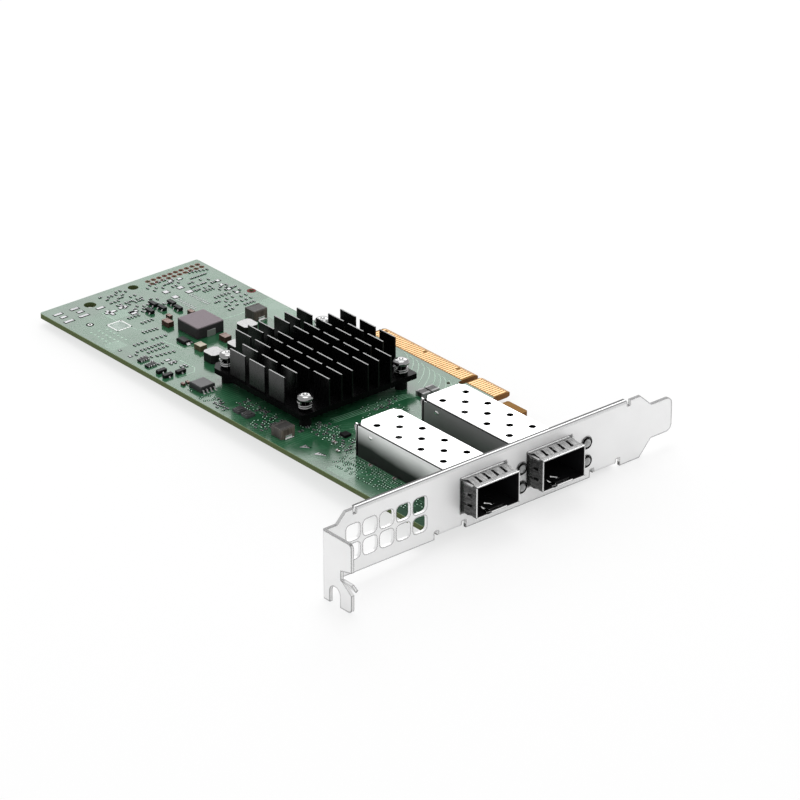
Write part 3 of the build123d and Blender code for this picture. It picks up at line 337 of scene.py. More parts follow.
def heatsink_look(name):
    """Black anodised aluminium with paler, more metallic fin tops, dull low down between the fins."""
    material, shader, vector, place = new_look(name)
    fin_top_height = 12.0
    gap_height = 5.5
    front_row = -53.0
    fine = grain(stretched(vector, (1.0, 1.0, 0.15)), 2600.0, 4.0, 0.6)
    cloud = grain(vector, 120.0, 2.0)
    colour = speckled(cloud, (0.0012, 0.0012, 0.0013), (0.0026, 0.0026, 0.0028))
    level = ranged(normal_of(vector)[2], 0.8, 0.95)
    crown = times(level, past(place[2], fin_top_height - 0.2, fin_top_height + 0.2))
    colour = blended(times(crown, 0.85), colour, grey(0.20))
    inner = past(place[1], front_row, front_row + 0.4)
    low = past(place[2], gap_height + 0.1, gap_height - 0.1)
    shine = ranged(largest(low, times(inner, 0.6)), 0, 1, 0.55, 0.06)
    metal = ranged(crown, 0, 1, 0.0, 0.6)
    set_surface(shader, colour, fine, (0.22, 0.30), (0.01, 0.5), 0.08, shine, metal)
    return material


def cage_look(name):
    """Plated sheet: bright top; painted shade down the sides, from near black by the board to near white up
    high and darker towards the rear, flatter and darker on the walls past the first port's middle; painted
    shade that makes the inside near black; painted dark outlines along the edges.
    """
    material, shader, vector, place = new_look(name)
    fine = grain(stretched(vector, (0.15, 1.0, 1.0)), 3000.0, 4.0, 0.6)
    cloud = grain(stretched(vector, (1.0, 1.0, 2.5)), 110.0, 3.0)
    side = ranged(normal_of(vector)[2], 0.5, 0.3)
    # Painted shade: the side walls are graded from dark low down to bright up high, brighter towards the
    # bracket
    height = maths("ADD", place[2], ranged(cloud, 0.3, 0.7, -0.3 * MM, 0.3 * MM))
    along = ranged(place[0], cage_rear * MM, bracket_inner * MM, 0.0, 2.2 * MM)
    shade = past(maths("ADD", height, along), 4.8, 10.0)
    # Painted shade: the walls past the first port's middle get a darker, flatter grade
    behind = past(place[1], port_centres[0] + 3.0, port_centres[0] + 4.0)
    wall = blended(shade, grey(0.016), grey(0.97))
    wall = blended(behind, wall, blended(shade, grey(0.20), grey(0.30)))
    colour = blended(side, speckled(cloud, grey(0.86), grey(0.94)), wall)
    # Painted shade: dark outlines along the sharp edges
    colour = edged(colour, grey(0.06), 0.16, 0.8)
    # Painted shade: near black inside the cages, between their walls and under their tops
    first, second = port_centres
    across = distance(place[1], (first + second) / 2 * MM)
    from_port = distance(across, (second - first) / 2 * MM)
    between_walls = past(from_port, cage_width / 2 - 0.10, cage_width / 2 - 0.16)
    inside = times(between_walls, past(place[2], cage_top - 0.08, cage_top - 0.14))
    colour = blended(inside, colour, (0.010, 0.010, 0.011))
    metal = ranged(largest(inside, times(side, 0.75)), 0, 1, 1.0, 0.0)
    shine = ranged(inside, 0, 1, 0.5, 0.15)
    set_surface(shader, colour, fine, (0.28, 0.34), (0.002, 0.2), 0.16, shine, metal)
    return material


def bracket_look(name):
    """Nickel-plated sheet with painted shade: fine dark outlines along its edges, dark upward faces of its
    cut edges and its relief recess, and dark lines along its flange's rear edge and fold.
    """
    material, shader, vector, place = new_look(name)
    flange_start = -92.4
    flange_end = 1.2
    flange_height = 13.6
    flange_rear = 56.98
    fold_line = 57.60
    upper_cuts = 10.0
    notch_end = -99.0
    notch_height = -2.4
    tab_face = -101.3
    fine = grain(stretched(vector, (1.0, 0.15, 1.0)), 3000.0, 4.0, 0.6)
    colour = speckled(grain(vector, 60.0, 3.0), grey(0.90), grey(0.96))
    normal = normal_of(vector)
    forward = distance(normal[0])
    on_flange = times(
        past(place[1], flange_start, flange_start + 0.3),
        past(place[1], flange_end, flange_end - 0.3),
    )
    # Painted shade: upward faces above the step height, off the flange, are darkened
    cut = times(
        ranged(normal[2], 0.6, 0.8),
        ranged(on_flange, 0, 1, 1.0, 0.0),
        past(place[2], upper_cuts, upper_cuts + 0.4),
    )
    colour = blended(times(cut, 0.85), colour, grey(0.10))
    # Painted shade: the relief notch is made near black
    notch = times(
        past(place[2], notch_height, notch_height - 0.2),
        past(place[1], notch_end, notch_end + 0.2),
        ranged(forward, 0.5, 0.3),
    )
    colour = blended(times(notch, 0.9), colour, grey(0.03))
    # Painted shade: dark outlines along the sharp edges of the forward faces and the screw tab
    tab = times(past(place[1], tab_face, tab_face - 0.2), distance(normal[1]))
    outlined = largest(ranged(forward, 0.6, 0.8), tab)
    outline = times(edge_share(vector, 0.6, 0.06), outlined, 0.88)
    # Painted shade: dark lines along the flange's rear edge and its fold
    rear = past(place[0], flange_rear, flange_rear - 0.06)
    fold = past(distance(place[0], fold_line * MM), 0.18, 0.12)
    top = times(on_flange, past(place[2], flange_height, flange_height + 0.2))
    lines = times(largest(rear, times(fold, 0.85)), top, 0.9)
    # All this painted shade, with less sheen and metal where it lies
    dark = largest(outline, lines)
    colour = blended(dark, colour, grey(0.04))
    shine = ranged(dark, 0, 1, 0.4, 0.0)
    metal = ranged(dark, 0, 1, 0.30, 0.0)
    set_surface(shader, colour, fine, (0.38, 0.50), (0.004, 0.4), 0.2, shine, metal)
    return material


def ceramic_look(name, gain):
    """Fired chip capacitors, one of them cream, the others red-brown, with painted light making their tops
    paler than their sides and painted highlights along their edges.
    """
    material, shader, vector, place = new_look(name)
    # Each pair is the side colour and the top colour; the paler top is painted light
    brown = ((0.050, 0.020, 0.014), (0.26, 0.155, 0.125))
    cream = ((0.085, 0.070, 0.034), (0.50, 0.46, 0.35))
    fine = grain(vector, 1600.0, 4.0)
    up = ranged(normal_of(vector)[2], 0.5, 0.9)
    tones = []
    for side, top in (brown, cream):
        tones.append(blended(up, tuple(value * gain for value in side), top))
    colour = blended(box_share(place, *cream_place), *tones)
    colour = blended(ranged(fine, 0.3, 0.7, 0.25, 0.0), colour, (0.02, 0.012, 0.01))
    # Painted highlight along the edges
    colour = edged(colour, (0.45, 0.35, 0.30), 0.15, 0.35)
    set_surface(shader, colour, fine, (0.36, 0.50), (0.02, 0.6), 0.15, 0.35)
    return material


def block_look(name):
    """Moulded chip capacitor, toned face by face with painted light and shade: a dark grey top, greyer
    sides, a paler brownish streaked end facing +x, and painted highlights along the edges.
    """
    material, shader, vector, _ = new_look(name)
    fine = grain(stretched(vector, (1.0, 1.0, 0.2)), 900.0, 4.0, 0.6)
    normal = normal_of(vector)
    side = speckled(fine, (0.045, 0.041, 0.038), (0.095, 0.086, 0.079))
    end = blended(ranged(fine, 0.35, 0.65), (0.062, 0.050, 0.042), (0.170, 0.138, 0.116))
    top = speckled(fine, (0.022, 0.021, 0.020), (0.042, 0.039, 0.037))
    # Painted light and shade: each face takes a tone by the way it faces
    colour = blended(ranged(normal[0], 0.5, 0.8), side, end)
    colour = blended(ranged(normal[2], 0.5, 0.8), colour, top)
    # Painted highlight along the edges
    colour = edged(colour, (0.36, 0.33, 0.30), 0.3, 0.4, 0.10)
    set_surface(shader, colour, fine, (0.36, 0.48), (0.02, 0.5), 0.3, 0.22)
    return material


def inductor_look(name):
    """Low block with a bright, glossier top and near-black sides."""
    material, shader, vector, _ = new_look(name)
    fine = grain(vector, 1800.0, 4.0)
    side = speckled(fine, grey(0.008), grey(0.020))
    top = speckled(fine, grey(0.40), grey(0.56))
    up = ranged(normal_of(vector)[2], 0.5, 0.9)
    shine = ranged(up, 0, 1, 0.12, 0.5)
    colour = blended(up, side, top)
    set_surface(shader, colour, fine, (0.30, 0.42), (0.02, 0.5), 0.15, shine)
    return material


def choke_look(name):
    """Pressed iron-powder block with a paler top."""
    material, shader, vector, _ = new_look(name)
    fine = grain(vector, 2200.0, 5.0, 0.65)
    side = speckled(fine, (0.020, 0.018, 0.020), (0.046, 0.041, 0.044))
    top = speckled(fine, (0.150, 0.118, 0.135), (0.215, 0.175, 0.195))
    colour = blended(ranged(normal_of(vector)[2], 0.5, 0.9), side, top)
    colour = edged(colour, (0.30, 0.27, 0.28), 0.25, 0.6)
    set_surface(shader, colour, fine, (0.48, 0.62), (0.03, 0.6), 0.25, 0.3)
    return material


def lens_look(name):
    """Clear moulding: glassy and pale, softly mottled inside."""
    material, shader, vector, _ = new_look(name)
    cloud = grain(vector, 900.0, 3.0)
    colour = blended(ranged(cloud, 0.35, 0.65), grey(0.22), (0.44, 0.45, 0.45))
    set_input(shader, "Base Color", colour)
    set_input(shader, "Roughness", ranged(cloud, 0.0, 1.0, 0.05, 0.12))
    set_input(shader, "Coat Weight", 0.8)
    set_input(shader, "Coat Roughness", 0.03)
    return material


def chrome_look(name):
    """Polished nickel of the screws."""
    material, shader, vector, _ = new_look(name)
    cloud = grain(vector, 500.0, 2.0)
    colour = blended(cloud, grey(0.26), grey(0.40))
    set_surface(shader, colour, cloud, (0.12, 0.20), (0.002, 0.2), metal=1.0)
    return material


def gasket_look(name):
    """Tinned spring sheet with painted light and shade: pale on faces that face up, dark on the others, and
    painted highlights along the edges.
    """
    material, shader, vector, _ = new_look(name)
    fine = grain(stretched(vector, (0.4, 1.6, 1.6)), 900.0, 4.0, 0.6)
    side = speckled(fine, grey(0.040), grey(0.110))
    top = speckled(fine, grey(0.20), grey(0.40))
    # Painted light and shade: faces that face up are pale, the others dark
    colour = blended(ranged(normal_of(vector)[2], 0.3, 0.8), side, top)
    # Painted highlight along the edges
    colour = edged(colour, grey(0.62), 0.10, 0.3)
    set_surface(shader, colour, fine, (0.22, 0.34), (0.01, 0.4), metal=0.6)
    return material


gold = ((0.52, 0.31, 0.14), (0.66, 0.42, 0.21), 0.38, (0.30, 0.14, 0.05))
looks = {
    "board": board_look("solder_mask"),
    "contacts": metal_look("gold_plating", *gold, brush=(3, 0.3, 1), radius=0.08),
    "bracket": bracket_look("nickel_sheet"),
    "fasteners": chrome_look("nickel_screws"),
    "cage": cage_look("cage_sheet"),
    "spring_sheet": gasket_look("gasket_sheet"),
    "housing": dull_look("connector_moulding", grey(0.010), grey(0.022), 0.5),
    "light_pipe": lens_look("clear_moulding"),
    "lamp": dull_look("milky_moulding", (0.45, 0.46, 0.36), (0.62, 0.63, 0.50), 0.3),
    "heatsink": heatsink_look("black_anodised"),
    "standoff": dull_look("black_nylon", grey(0.003), grey(0.007), 0.5, specular=0.12),
    "thermal_pad": dull_look("thermal_sheet", (0.16, 0.17, 0.20), (0.22, 0.23, 0.26), 0.8),
    "chip": dull_look(
        "chip_moulding", (0.018, 0.018, 0.020), (0.036, 0.036, 0.038), 0.38, grey(0.16), specular=0.35
    ),
    "ferrite": choke_look("pressed_powder"),
    "tin": metal_look("tinned_lead", grey(0.62), (0.82, 0.82, 0.81), 0.28, grey(0.40), metal=0.6),
    "capacitor": ceramic_look("fired_ceramic", 1.0),
    "bulk_capacitor": block_look("moulded_block"),
    "bulk_terminal": block_look("block_end"),
    "crystal": dull_look("crystal_base", (0.05, 0.05, 0.055), (0.09, 0.09, 0.095), 0.5),
    "filter": dull_look("filter_body", grey(0.02), grey(0.045), 0.4, grey(0.3), specular=0.25),
    "resistor": dull_look(
        "glazed_body", (0.010, 0.012, 0.012), (0.024, 0.026, 0.026), 0.3, grey(0.1), specular=0.35
    ),
}
small_moulding = dull_look(
    "small_moulding", (0.004, 0.004, 0.0045), (0.010, 0.010, 0.011), 0.4, specular=0.12
)
node_looks = {
    "small_inductors": inductor_look("bright_topped_block"),
    "choke_terminals": metal_look(
        "choke_strap", grey(0.16), (0.42, 0.42, 0.41), 0.34, grey(0.7), metal=0.45
    ),
    "transistors": small_moulding,
    "resistor_networks": small_moulding,
    "diode": small_moulding,
    "logic_chip": small_moulding,
    "crystal_lids": metal_look("crystal_cover", grey(0.07), grey(0.14), 0.4, grey(0.3)),
    "capacitor_end_caps": ceramic_look("ceramic_end", 1.3),
    "filter_end_caps": dull_look("filter_end", grey(0.22), grey(0.34), 0.36, grey(0.6)),
}
for name, thing in nodes.items():
    thing.data.materials.clear()
    thing.data.materials.append(node_looks.get(name, looks[slot_of[name]]))

# Finishes of the pieces that the scene adds
# Near black for real gaps and seams, and for pieces of painted shade
gap_and_shade_look = dull_look("dark_gap_and_shade", grey(0.004), grey(0.009), 0.8, specular=0.0)
rim_look = metal_look("port_rim", grey(0.80), grey(0.92), 0.24, grey(0.5))
glaze = ((0.060, 0.010, 0.009), (0.120, 0.022, 0.018), 0.38, (0.20, 0.08, 0.07))
red_look = dull_look("red_glaze", *glaze, scale=1500.0, specular=0.2)
ring_look = dull_look("red_ink", (0.11, 0.014, 0.014), (0.21, 0.030, 0.030), 0.5, specular=0.05)
pad_look = metal_look("tinned_pad", (0.27, 0.27, 0.28), (0.42, 0.42, 0.43), 0.32, grey(0.09), metal=0.75)
solder_look = dull_look(
    "solder_dots", (0.32, 0.64, 0.43), (0.66, 0.95, 0.76), 0.5, scale=700.0, specular=0.1
)
paint_look = dull_look("white_ink", (0.84, 0.86, 0.84), (0.93, 0.94, 0.93), 0.55)
patch_look = dull_look("pale_ink", (0.12, 0.19, 0.15), (0.50, 0.58, 0.53), 0.5, scale=1400.0)
track_look = dull_look(
    "masked_track", (0.120, 0.270, 0.165), (0.200, 0.380, 0.255), 0.2, scale=900.0, specular=0.55
)


# Geometry helpers, in millimetres
def block(work, low, high, bevel=0.0):
    made = bmesh.ops.create_cube(work, size=1.0)["verts"]
    size = [b - a for a, b in zip(low, high)]
    centre = [(a + b) / 2 for a, b in zip(low, high)]
    bmesh.ops.scale(work, vec=size, verts=made)
    bmesh.ops.translate(work, vec=centre, verts=made)
    if bevel:
        edges = {edge for vert in made for edge in vert.link_edges}
        bmesh.ops.bevel(
            work,
            geom=list(edges),
            offset=bevel,
            offset_type="OFFSET",
            segments=2,
            profile=0.5,
            affect="EDGES",
            material=-1,
        )


def plate(work, corners, low, high):
    """Flat prism over a polygon's corners, between two heights."""
    top = work.faces.new([work.verts.new((x, y, high)) for x, y in corners])
    grown = bmesh.ops.extrude_face_region(work, geom=[top])["geom"]
    moved = [item for item in grown if isinstance(item, bmesh.types.BMVert)]
    bmesh.ops.translate(work, vec=(0, 0, low - high), verts=moved)


def ball(work, centre, size, around, upward):
    """Closed round shape with a half-size per axis."""
    made = bmesh.ops.create_uvsphere(work, u_segments=around, v_segments=upward, radius=1.0)["verts"]
    bmesh.ops.scale(work, vec=size, verts=made)
    bmesh.ops.translate(work, vec=centre, verts=made)


def turns_of(sides):
    return [math.tau * step / sides for step in range(sides)]


def circle(work, x, y, z, radius, sides):
    return [
        work.verts.new((x + radius * math.cos(turn), y + radius * math.sin(turn), z))
        for turn in turns_of(sides)
    ]


def ring(work, x, y, z, inner, outer, sides=18):
    near = circle(work, x, y, z, inner, sides)
    far = circle(work, x, y, z, outer, sides)
    for step in range(sides):
        following = (step + 1) % sides
        work.faces.new((near[step], far[step], far[following], near[following]))


def disc(work, x, y, z, radius, sides=12):
    work.faces.new(circle(work, x, y, z, radius, sides))


def ribbon(work, points, width, z):
    """Flat track along points on the board."""
    flat = [Vector((x, y)) for x, y in points]
    rims = []
    for number, point in enumerate(flat):
        before = flat[max(number - 1, 0)]
        after = flat[min(number + 1, len(flat) - 1)]
        along = (after - before).normalized()
        across = Vector((-along.y, along.x)) * width / 2
        rims.append([work.verts.new((*(point + across), z)), work.verts.new((*(point - across), z))])
    for first, second in zip(rims, rims[1:]):
        work.faces.new((first[0], first[1], second[1], second[0]))


def tube(work, points, radius, sides=10):
    """Round wire along points, closed at both ends."""
    path = [Vector(point) for point in points]
    rims = []
    for number, point in enumerate(path):
        along = (path[min(number + 1, len(path) - 1)] - path[max(number - 1, 0)]).normalized()
        helper = Vector((0, 0, 1)) if abs(along.z) < 0.9 else Vector((1, 0, 0))
        first = along.cross(helper).normalized()
        second = along.cross(first)
        rim = []
        for turn in turns_of(sides):
            place = point + first * radius * math.cos(turn) + second * radius * math.sin(turn)
            rim.append(work.verts.new(place))
        rims.append(rim)
    for near, far in zip(rims, rims[1:]):
        for step in range(sides):
            following = (step + 1) % sides
            work.faces.new((near[step], near[following], far[following], far[step])).smooth = True
    work.faces.new(rims[0])
    work.faces.new(rims[-1])


def lathe(work, x, y, profile, steps=28):
    """Solid of revolution about a vertical axis from (radius, height) points."""
    verts = [work.verts.new((x + radius, y, height)) for radius, height in profile]
    edges = [work.edges.new(pair) for pair in zip(verts, verts[1:])]
    bmesh.ops.spin(
        work,
        geom=verts + edges,
        cent=(x, y, 0),
        axis=(0, 0, 1),
        angle=math.tau,
        steps=steps,
        use_merge=True,
        use_duplicate=False,
    )


def new_object(name, work, look):
    mesh = bpy.data.meshes.new(name)
    work.to_mesh(mesh)
    work.free()
    made = bpy.data.objects.new(name, mesh)
    scene.collection.objects.link(made)
    mesh.materials.append(look)
    return made


def piece(name, work, look, stands_for=(), smooth=False):
    """Object from a finished bmesh in millimetres, riding on the card."""
    bmesh.ops.remove_doubles(work, verts=work.verts, dist=1e-5)
    bmesh.ops.recalc_face_normals(work, faces=work.faces)
    bmesh.ops.scale(work, vec=(MM, MM, MM), verts=work.verts)
    made = new_object(name, work, look)
    if smooth:
        for face in made.data.polygons:
            face.use_smooth = True
    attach(made, "root")
    if stands_for:
        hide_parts(*stands_for)


# Heatsink screws and their wound springs
heatsink_shelf = board_top + 4.5
screw_places = [(x, y) for x in (-42.05, -8.25) for y in (-55.1, -21.5)]


def make_springs():
    """Wire that opens out and climbs faster in its last stretch, under the screw's head."""
    work = bmesh.new()
    wire = 0.34
    coil_radius = 1.7
    opening = 0.4
    turns = 2.6
    start = 1.2
    climb = 1.55
    last_climb = 0.45
    steps = 60
    for x, y in screw_places:
        points = []
        for step in range(steps + 1):
            share = step / steps
            turn = turns * math.tau * share + start
            radius = coil_radius + opening * max(0.0, share - 0.72) / 0.28
            height = heatsink_shelf + wire + climb * share + last_climb * max(0.0, share - 0.7) / 0.3
            points.append((x + radius * math.cos(turn), y + radius * math.sin(turn), height))
        tube(work, points, wire, 8)
    piece("wound_springs", work, looks["fasteners"], ["heatsink_springs"])


def make_screw_heads():
    work = bmesh.new()
    top = board_top + 8.8
    tip = board_bottom - 0.6
    shank = 0.98
    profile = (
        (0.0, tip),
        (shank - 0.13, tip),
        (shank, tip + 0.15),
        (shank, top - 1.5),
        (2.05, top - 1.5),
        (2.27, top - 1.32),
        (2.30, top - 0.85),
        (2.10, top - 0.42),
        (1.60, top - 0.12),
        (0.90, top - 0.01),
        (0.62, top - 0.02),
        (0.55, top - 0.12),
        (0.0, top - 0.12),
    )
    for x, y in screw_places:
        lathe(work, x, y, profile)
    piece("domed_screws", work, looks["fasteners"], ["heatsink_screws"], smooth=True)


make_springs()
make_screw_heads()


# Pads, small parts, vias and tracks on the board
scatter = random.Random(11)
lift = 0.02
part_height = 0.26
pad_height = 0.06


def small_part(bodies, ends, x, y, length, width, height, along_x=True):
    """Dark chip part with bright solder ends."""
    half = length / 2
    inner = half - length * 0.34
    across = width * 0.42
    end_height = height * 0.92
    spans = (
        (bodies, -inner, inner, height),
        (ends, -half, -inner, end_height),
        (ends, inner, half, end_height),
    )
    for work, low, high, rise in spans:
        reach = ((low, high), (-across, across))
        span_x, span_y = reach if along_x else reach[::-1]
        block(
            work,
            (x + span_x[0], y + span_y[0], board_top),
            (x + span_x[1], y + span_y[1], board_top + rise),
        )


# x and y of the first, steps to the next, count, length and width, lengthwise along X or not
part_rows = (
    (-76.3, -61.2, 0.0, 1.33, 4, 1.1, 0.55, True),
    (-76.2, -54.9, 0.1, 1.40, 4, 1.1, 0.55, True),
    (-72.5, -61.6, 0.0, 1.20, 7, 1.1, 0.60, True),
    (-70.2, -61.0, 0.0, 1.30, 6, 1.0, 0.60, True),
    (-67.0, -60.4, 0.2, 1.30, 5, 1.1, 0.60, True),
    (-81.3, -54.3, 0.1, 1.08, 5, 1.3, 0.50, True),
    (-86.4, -50.9, 0.0, 1.20, 4, 1.2, 0.50, True),
    (-91.3, -51.9, 0.0, 1.13, 4, 1.2, 0.50, True),
    (-91.8, -24.6, 0.0, 1.05, 4, 1.3, 0.45, True),
    (-86.4, -24.7, 0.0, 1.20, 4, 1.3, 0.45, True),
    (-104.6, -20.2, 0.3, 1.08, 6, 1.0, 0.45, True),
    (-101.0, -22.0, 0.0, 1.20, 5, 1.0, 0.50, False),
    (-34.9, -64.0, 1.4, -0.35, 3, 1.0, 0.55, False),
    (-32.6, -66.3, 1.2, 0.25, 3, 1.0, 0.55, True),
    (-22.6, -59.6, 0.9, 0.30, 3, 1.2, 0.60, False),
    (-5.4, -59.0, 1.2, 0.0, 1, 1.6, 0.9, False),
    (-56.9, -59.5, 0.0, 1.30, 2, 1.6, 0.80, True),
    (-60.6, -60.6, 0.0, 1.40, 2, 1.4, 0.70, True),
)
# Two corners of each field of small parts, and how many it holds
part_fields = (
    ((-108.0, -50.0), (-99.5, -41.0), 34),
    ((-99.0, -47.0), (-92.5, -38.0), 20),
    ((-106.0, -36.0), (-100.0, -26.5), 16),
    ((-98.5, -26.0), (-93.0, -18.0), 16),
    ((-84.5, -27.0), (-77.0, -16.5), 26),
    ((-91.0, -20.5), (-85.0, -15.5), 10),
    ((-73.0, -64.5), (-61.0, -62.0), 8),
    ((-33.5, -67.5), (-27.0, -65.0), 9),
    ((-30.0, -61.5), (-14.0, -58.0), 16),
    ((-17.0, -67.0), (-12.0, -62.0), 8),
    ((-6.5, -57.0), (1.0, -50.0), 12),
    ((2.5, -57.5), (13.0, -52.5), 12),
    ((-5.0, -36.0), (-1.5, -26.0), 6),
)
# Middle, length and width of each bare pad
bright_pads = (
    (-97.7, -53.6, 3.4, 0.9),
    (-98.5, -48.6, 2.4, 0.8),
    (-93.6, -48.7, 2.0, 1.8),
    (-98.5, -33.2, 1.6, 1.6),
    (-98.2, -28.3, 1.4, 1.7),
    (-94.4, -27.9, 1.5, 2.0),
    (-94.1, -33.2, 1.6, 1.7),
    (-103.1, -24.8, 1.0, 1.4),
    (-103.5, -27.8, 1.0, 1.2),
    (-95.1, -17.2, 1.0, 1.3),
    (-92.2, -18.0, 1.0, 1.0),
    (-88.6, -18.1, 1.2, 1.0),
    (-85.3, -17.7, 1.0, 1.2),
    (-63.0, -59.8, 0.9, 1.5),
    (-61.2, -59.2, 0.9, 1.6),
    (-76.4, -66.3, 0.5, 0.5),
    (-71.6, -66.3, 0.9, 0.7),
    (-67.97, -48.7, 1.4, 2.4),
    (-106.35, -65.6, 1.0, 2.75),
    (-103.85, -65.4, 1.0, 1.9),
    (-100.75, -65.8, 1.0, 3.0),
    (-106.25, -59.9, 1.0, 2.6),
    (-103.65, -59.75, 1.0, 1.9),
    (-100.95, -60.45, 1.0, 3.1),
    (-102.05, -53.9, 1.0, 2.4),
    (-97.95, -53.3, 1.0, 3.6),
    (-98.25, -48.75, 1.0, 2.7),
    (-94.05, -48.2, 1.0, 2.7),
)
# Middle, length and width of each red part
red_parts = (
    (5.6, -56.3, 1.3, 0.8),
    (10.0, -58.8, 1.3, 0.8),
    (22.0, -57.6, 1.4, 0.7),
    (31.9, -57.6, 1.4, 0.7),
    (-80.6, -36.7, 1.8, 1.1),
    (-77.6, -43.8, 1.5, 1.1),
)
# Corners of each field of vias, and the share of its places that hold one
via_fields = (
    ((-8.0, -57.0), (1.5, -49.5), 0.5),
    ((1.0, -57.5), (13.5, -50.5), 0.4),
    ((-18.5, -66.5), (-12.0, -62.5), 0.4),
    ((-6.5, -38.0), (-2.0, -25.0), 0.4),
    ((-1.5, -42.0), (3.5, -28.0), 0.2),
    ((13.5, -64.5), (35.0, -57.5), 0.5),
    ((36.0, -66.0), (54.0, -58.0), 0.32),
    ((-31.0, -61.5), (-12.0, -57.5), 0.36),
    ((-45.0, -67.5), (-35.0, -62.5), 0.12),
)


def make_board_parts():
    """Rows in the places that the photo shows, and fields with parts at random on a loose pitch."""
    bodies = bmesh.new()
    ends = bmesh.new()
    for x, y, step_x, step_y, count, length, width, along_x in part_rows:
        for number in range(count):
            spot = (x + step_x * number, y + step_y * number)
            small_part(bodies, ends, *spot, length, width, part_height, along_x)
    pitch = 1.25
    clear_x = 1.3
    clear_y = 1.0
    tries_each = 6
    lengthwise = 0.7
    for low, high, count in part_fields:
        taken = []
        for _ in range(count * tries_each):
            x = round(scatter.uniform(low[0], high[0]) / pitch) * pitch
            y = scatter.uniform(low[1], high[1])
            if len(taken) == count:
                break
            if any(abs(x - a) < clear_x and abs(y - b) < clear_y for a, b in taken):
                continue
            taken.append((x, y))
            small_part(bodies, ends, x, y, 1.0, 0.55, part_height, scatter.random() < lengthwise)
    piece("small_part_bodies", bodies, looks["resistor"])
    piece("small_part_ends", ends, pad_look)


def make_pads():
    """Bare pads, each in a near-black clearance that is partly a mask opening and partly painted shadow,
    set off towards +x; two rows of lead pads; and two bare triangles with small dark marks.
    """
    pads = bmesh.new()
    clearances_and_shadows = bmesh.new()
    margin_x = 0.20
    margin_y = 0.24
    for x, y, length, width in bright_pads:
        half_x, half_y = length / 2, width / 2
        block(pads, (x - half_x, y - half_y, board_top), (x + half_x, y + half_y, board_top + pad_height))
        corners = ((-1, -1), (1, -1), (1, 1), (-1, 1))
        # Partly painted shadow: the clearance is near black and set 0.1 off towards +x
        outline = [(x + 0.10 + a * (half_x + margin_x), y + b * (half_y + margin_y)) for a, b in corners]
        plate(clearances_and_shadows, outline, board_top + 0.004, board_top + 0.012)
    first_lead = -92.4
    lead_pitch = 0.98
    lead_rows = (-33.7, -28.8)
    half_x, half_y = 0.15, 0.8
    for number in range(9):
        x = first_lead + lead_pitch * number
        for y in lead_rows:
            block(pads, (x - half_x, y - half_y, board_top), (x + half_x, y + half_y, board_top + 0.05))
    triangles = (
        ((1.6, -65.2), (3.8, -63.4), (1.5, -63.0)),
        ((7.2, -65.0), (10.2, -62.8), (7.2, -63.2)),
    )
    for triangle in triangles:
        plate(pads, triangle, board_top, board_top + pad_height)
        low_x, low_y = triangle[0]
        for number in range(3):
            x, y = low_x + 0.5 + 0.7 * number, low_y + 1.3 + 0.25 * number
            outline = ((x, y), (x + 0.3, y), (x + 0.3, y + 0.6), (x, y + 0.6))
            plate(clearances_and_shadows, outline, board_top + 0.07, board_top + 0.09)
    piece("bare_pads", pads, pad_look)
    piece("pad_clearances_and_shadows", clearances_and_shadows, gap_and_shade_look)


def make_solder():
    """Fillets at both ends of the two bulk capacitors: a low foot and a thin rise."""
    work = bmesh.new()
    end = 2.32
    for along, across in ((126.2, 45.2), (64.1, 5.0)):
        x, y = bracket_inner - along, free_edge + across
        for side in (-1, 1):
            for reach, half, height, bevel in ((3.0, 1.5, 0.28, 0.1), (2.55, 1.1, 0.95, 0.08)):
                low_x, high_x = sorted((x + side * end, x + side * reach))
                block(work, (low_x, y - half, board_top), (high_x, y + half, board_top + height), bevel)
    piece("bulk_solder", work, rim_look)


def make_red_parts():
    work = bmesh.new()
    ends = bmesh.new()
    for x, y, length, width in red_parts:
        small_part(work, ends, x, y, length, width, 0.45)
    piece("red_chip_parts", work, red_look)
    piece("red_chip_ends", ends, looks["tin"])


def make_vias():
    """Soldered vias with dark collars, a third of them with a short track, and covered ones."""
    dots = bmesh.new()
    collars = bmesh.new()
    links = bmesh.new()
    covered = bmesh.new()
    pitch = 0.95
    linked = 0.34
    via_radius = 0.22
    collar_radii = (0.20, 0.46)
    covered_radius = 0.42
    directions = ((1.0, 0.0), (0.0, 1.0), (0.7, 0.7))
    for low, high, share in via_fields:
        for column in range(int((high[0] - low[0]) / pitch) + 1):
            for row in range(int((high[1] - low[1]) / pitch) + 1):
                if scatter.random() > share:
                    continue
                x = low[0] + pitch * (column + 0.5 * (row % 2))
                y = low[1] + pitch * row
                disc(dots, x, y, board_top + lift * 1.5, via_radius, 8)
                ring(collars, x, y, board_top + lift, *collar_radii, 10)
                if scatter.random() < linked:
                    turn = scatter.choice(directions)
                    far = (x + turn[0] * scatter.uniform(1.5, 4.0), y + turn[1] * scatter.uniform(1.5, 3.0))
                    ribbon(links, ((x, y), far), 0.13, board_top + lift * 0.6)
    for row in range(3):
        for number in range(6):
            x = -90.6 + 1.75 * number + 0.5 * row
            ring(covered, x, -65.6 + 2.4 * row, board_top + lift, 0.0, covered_radius, 10)
    piece("vias", dots, solder_look)
    piece("via_collars", collars, gap_and_shade_look)
    piece("short_tracks", links, track_look)
    piece("covered_vias", covered, track_look)


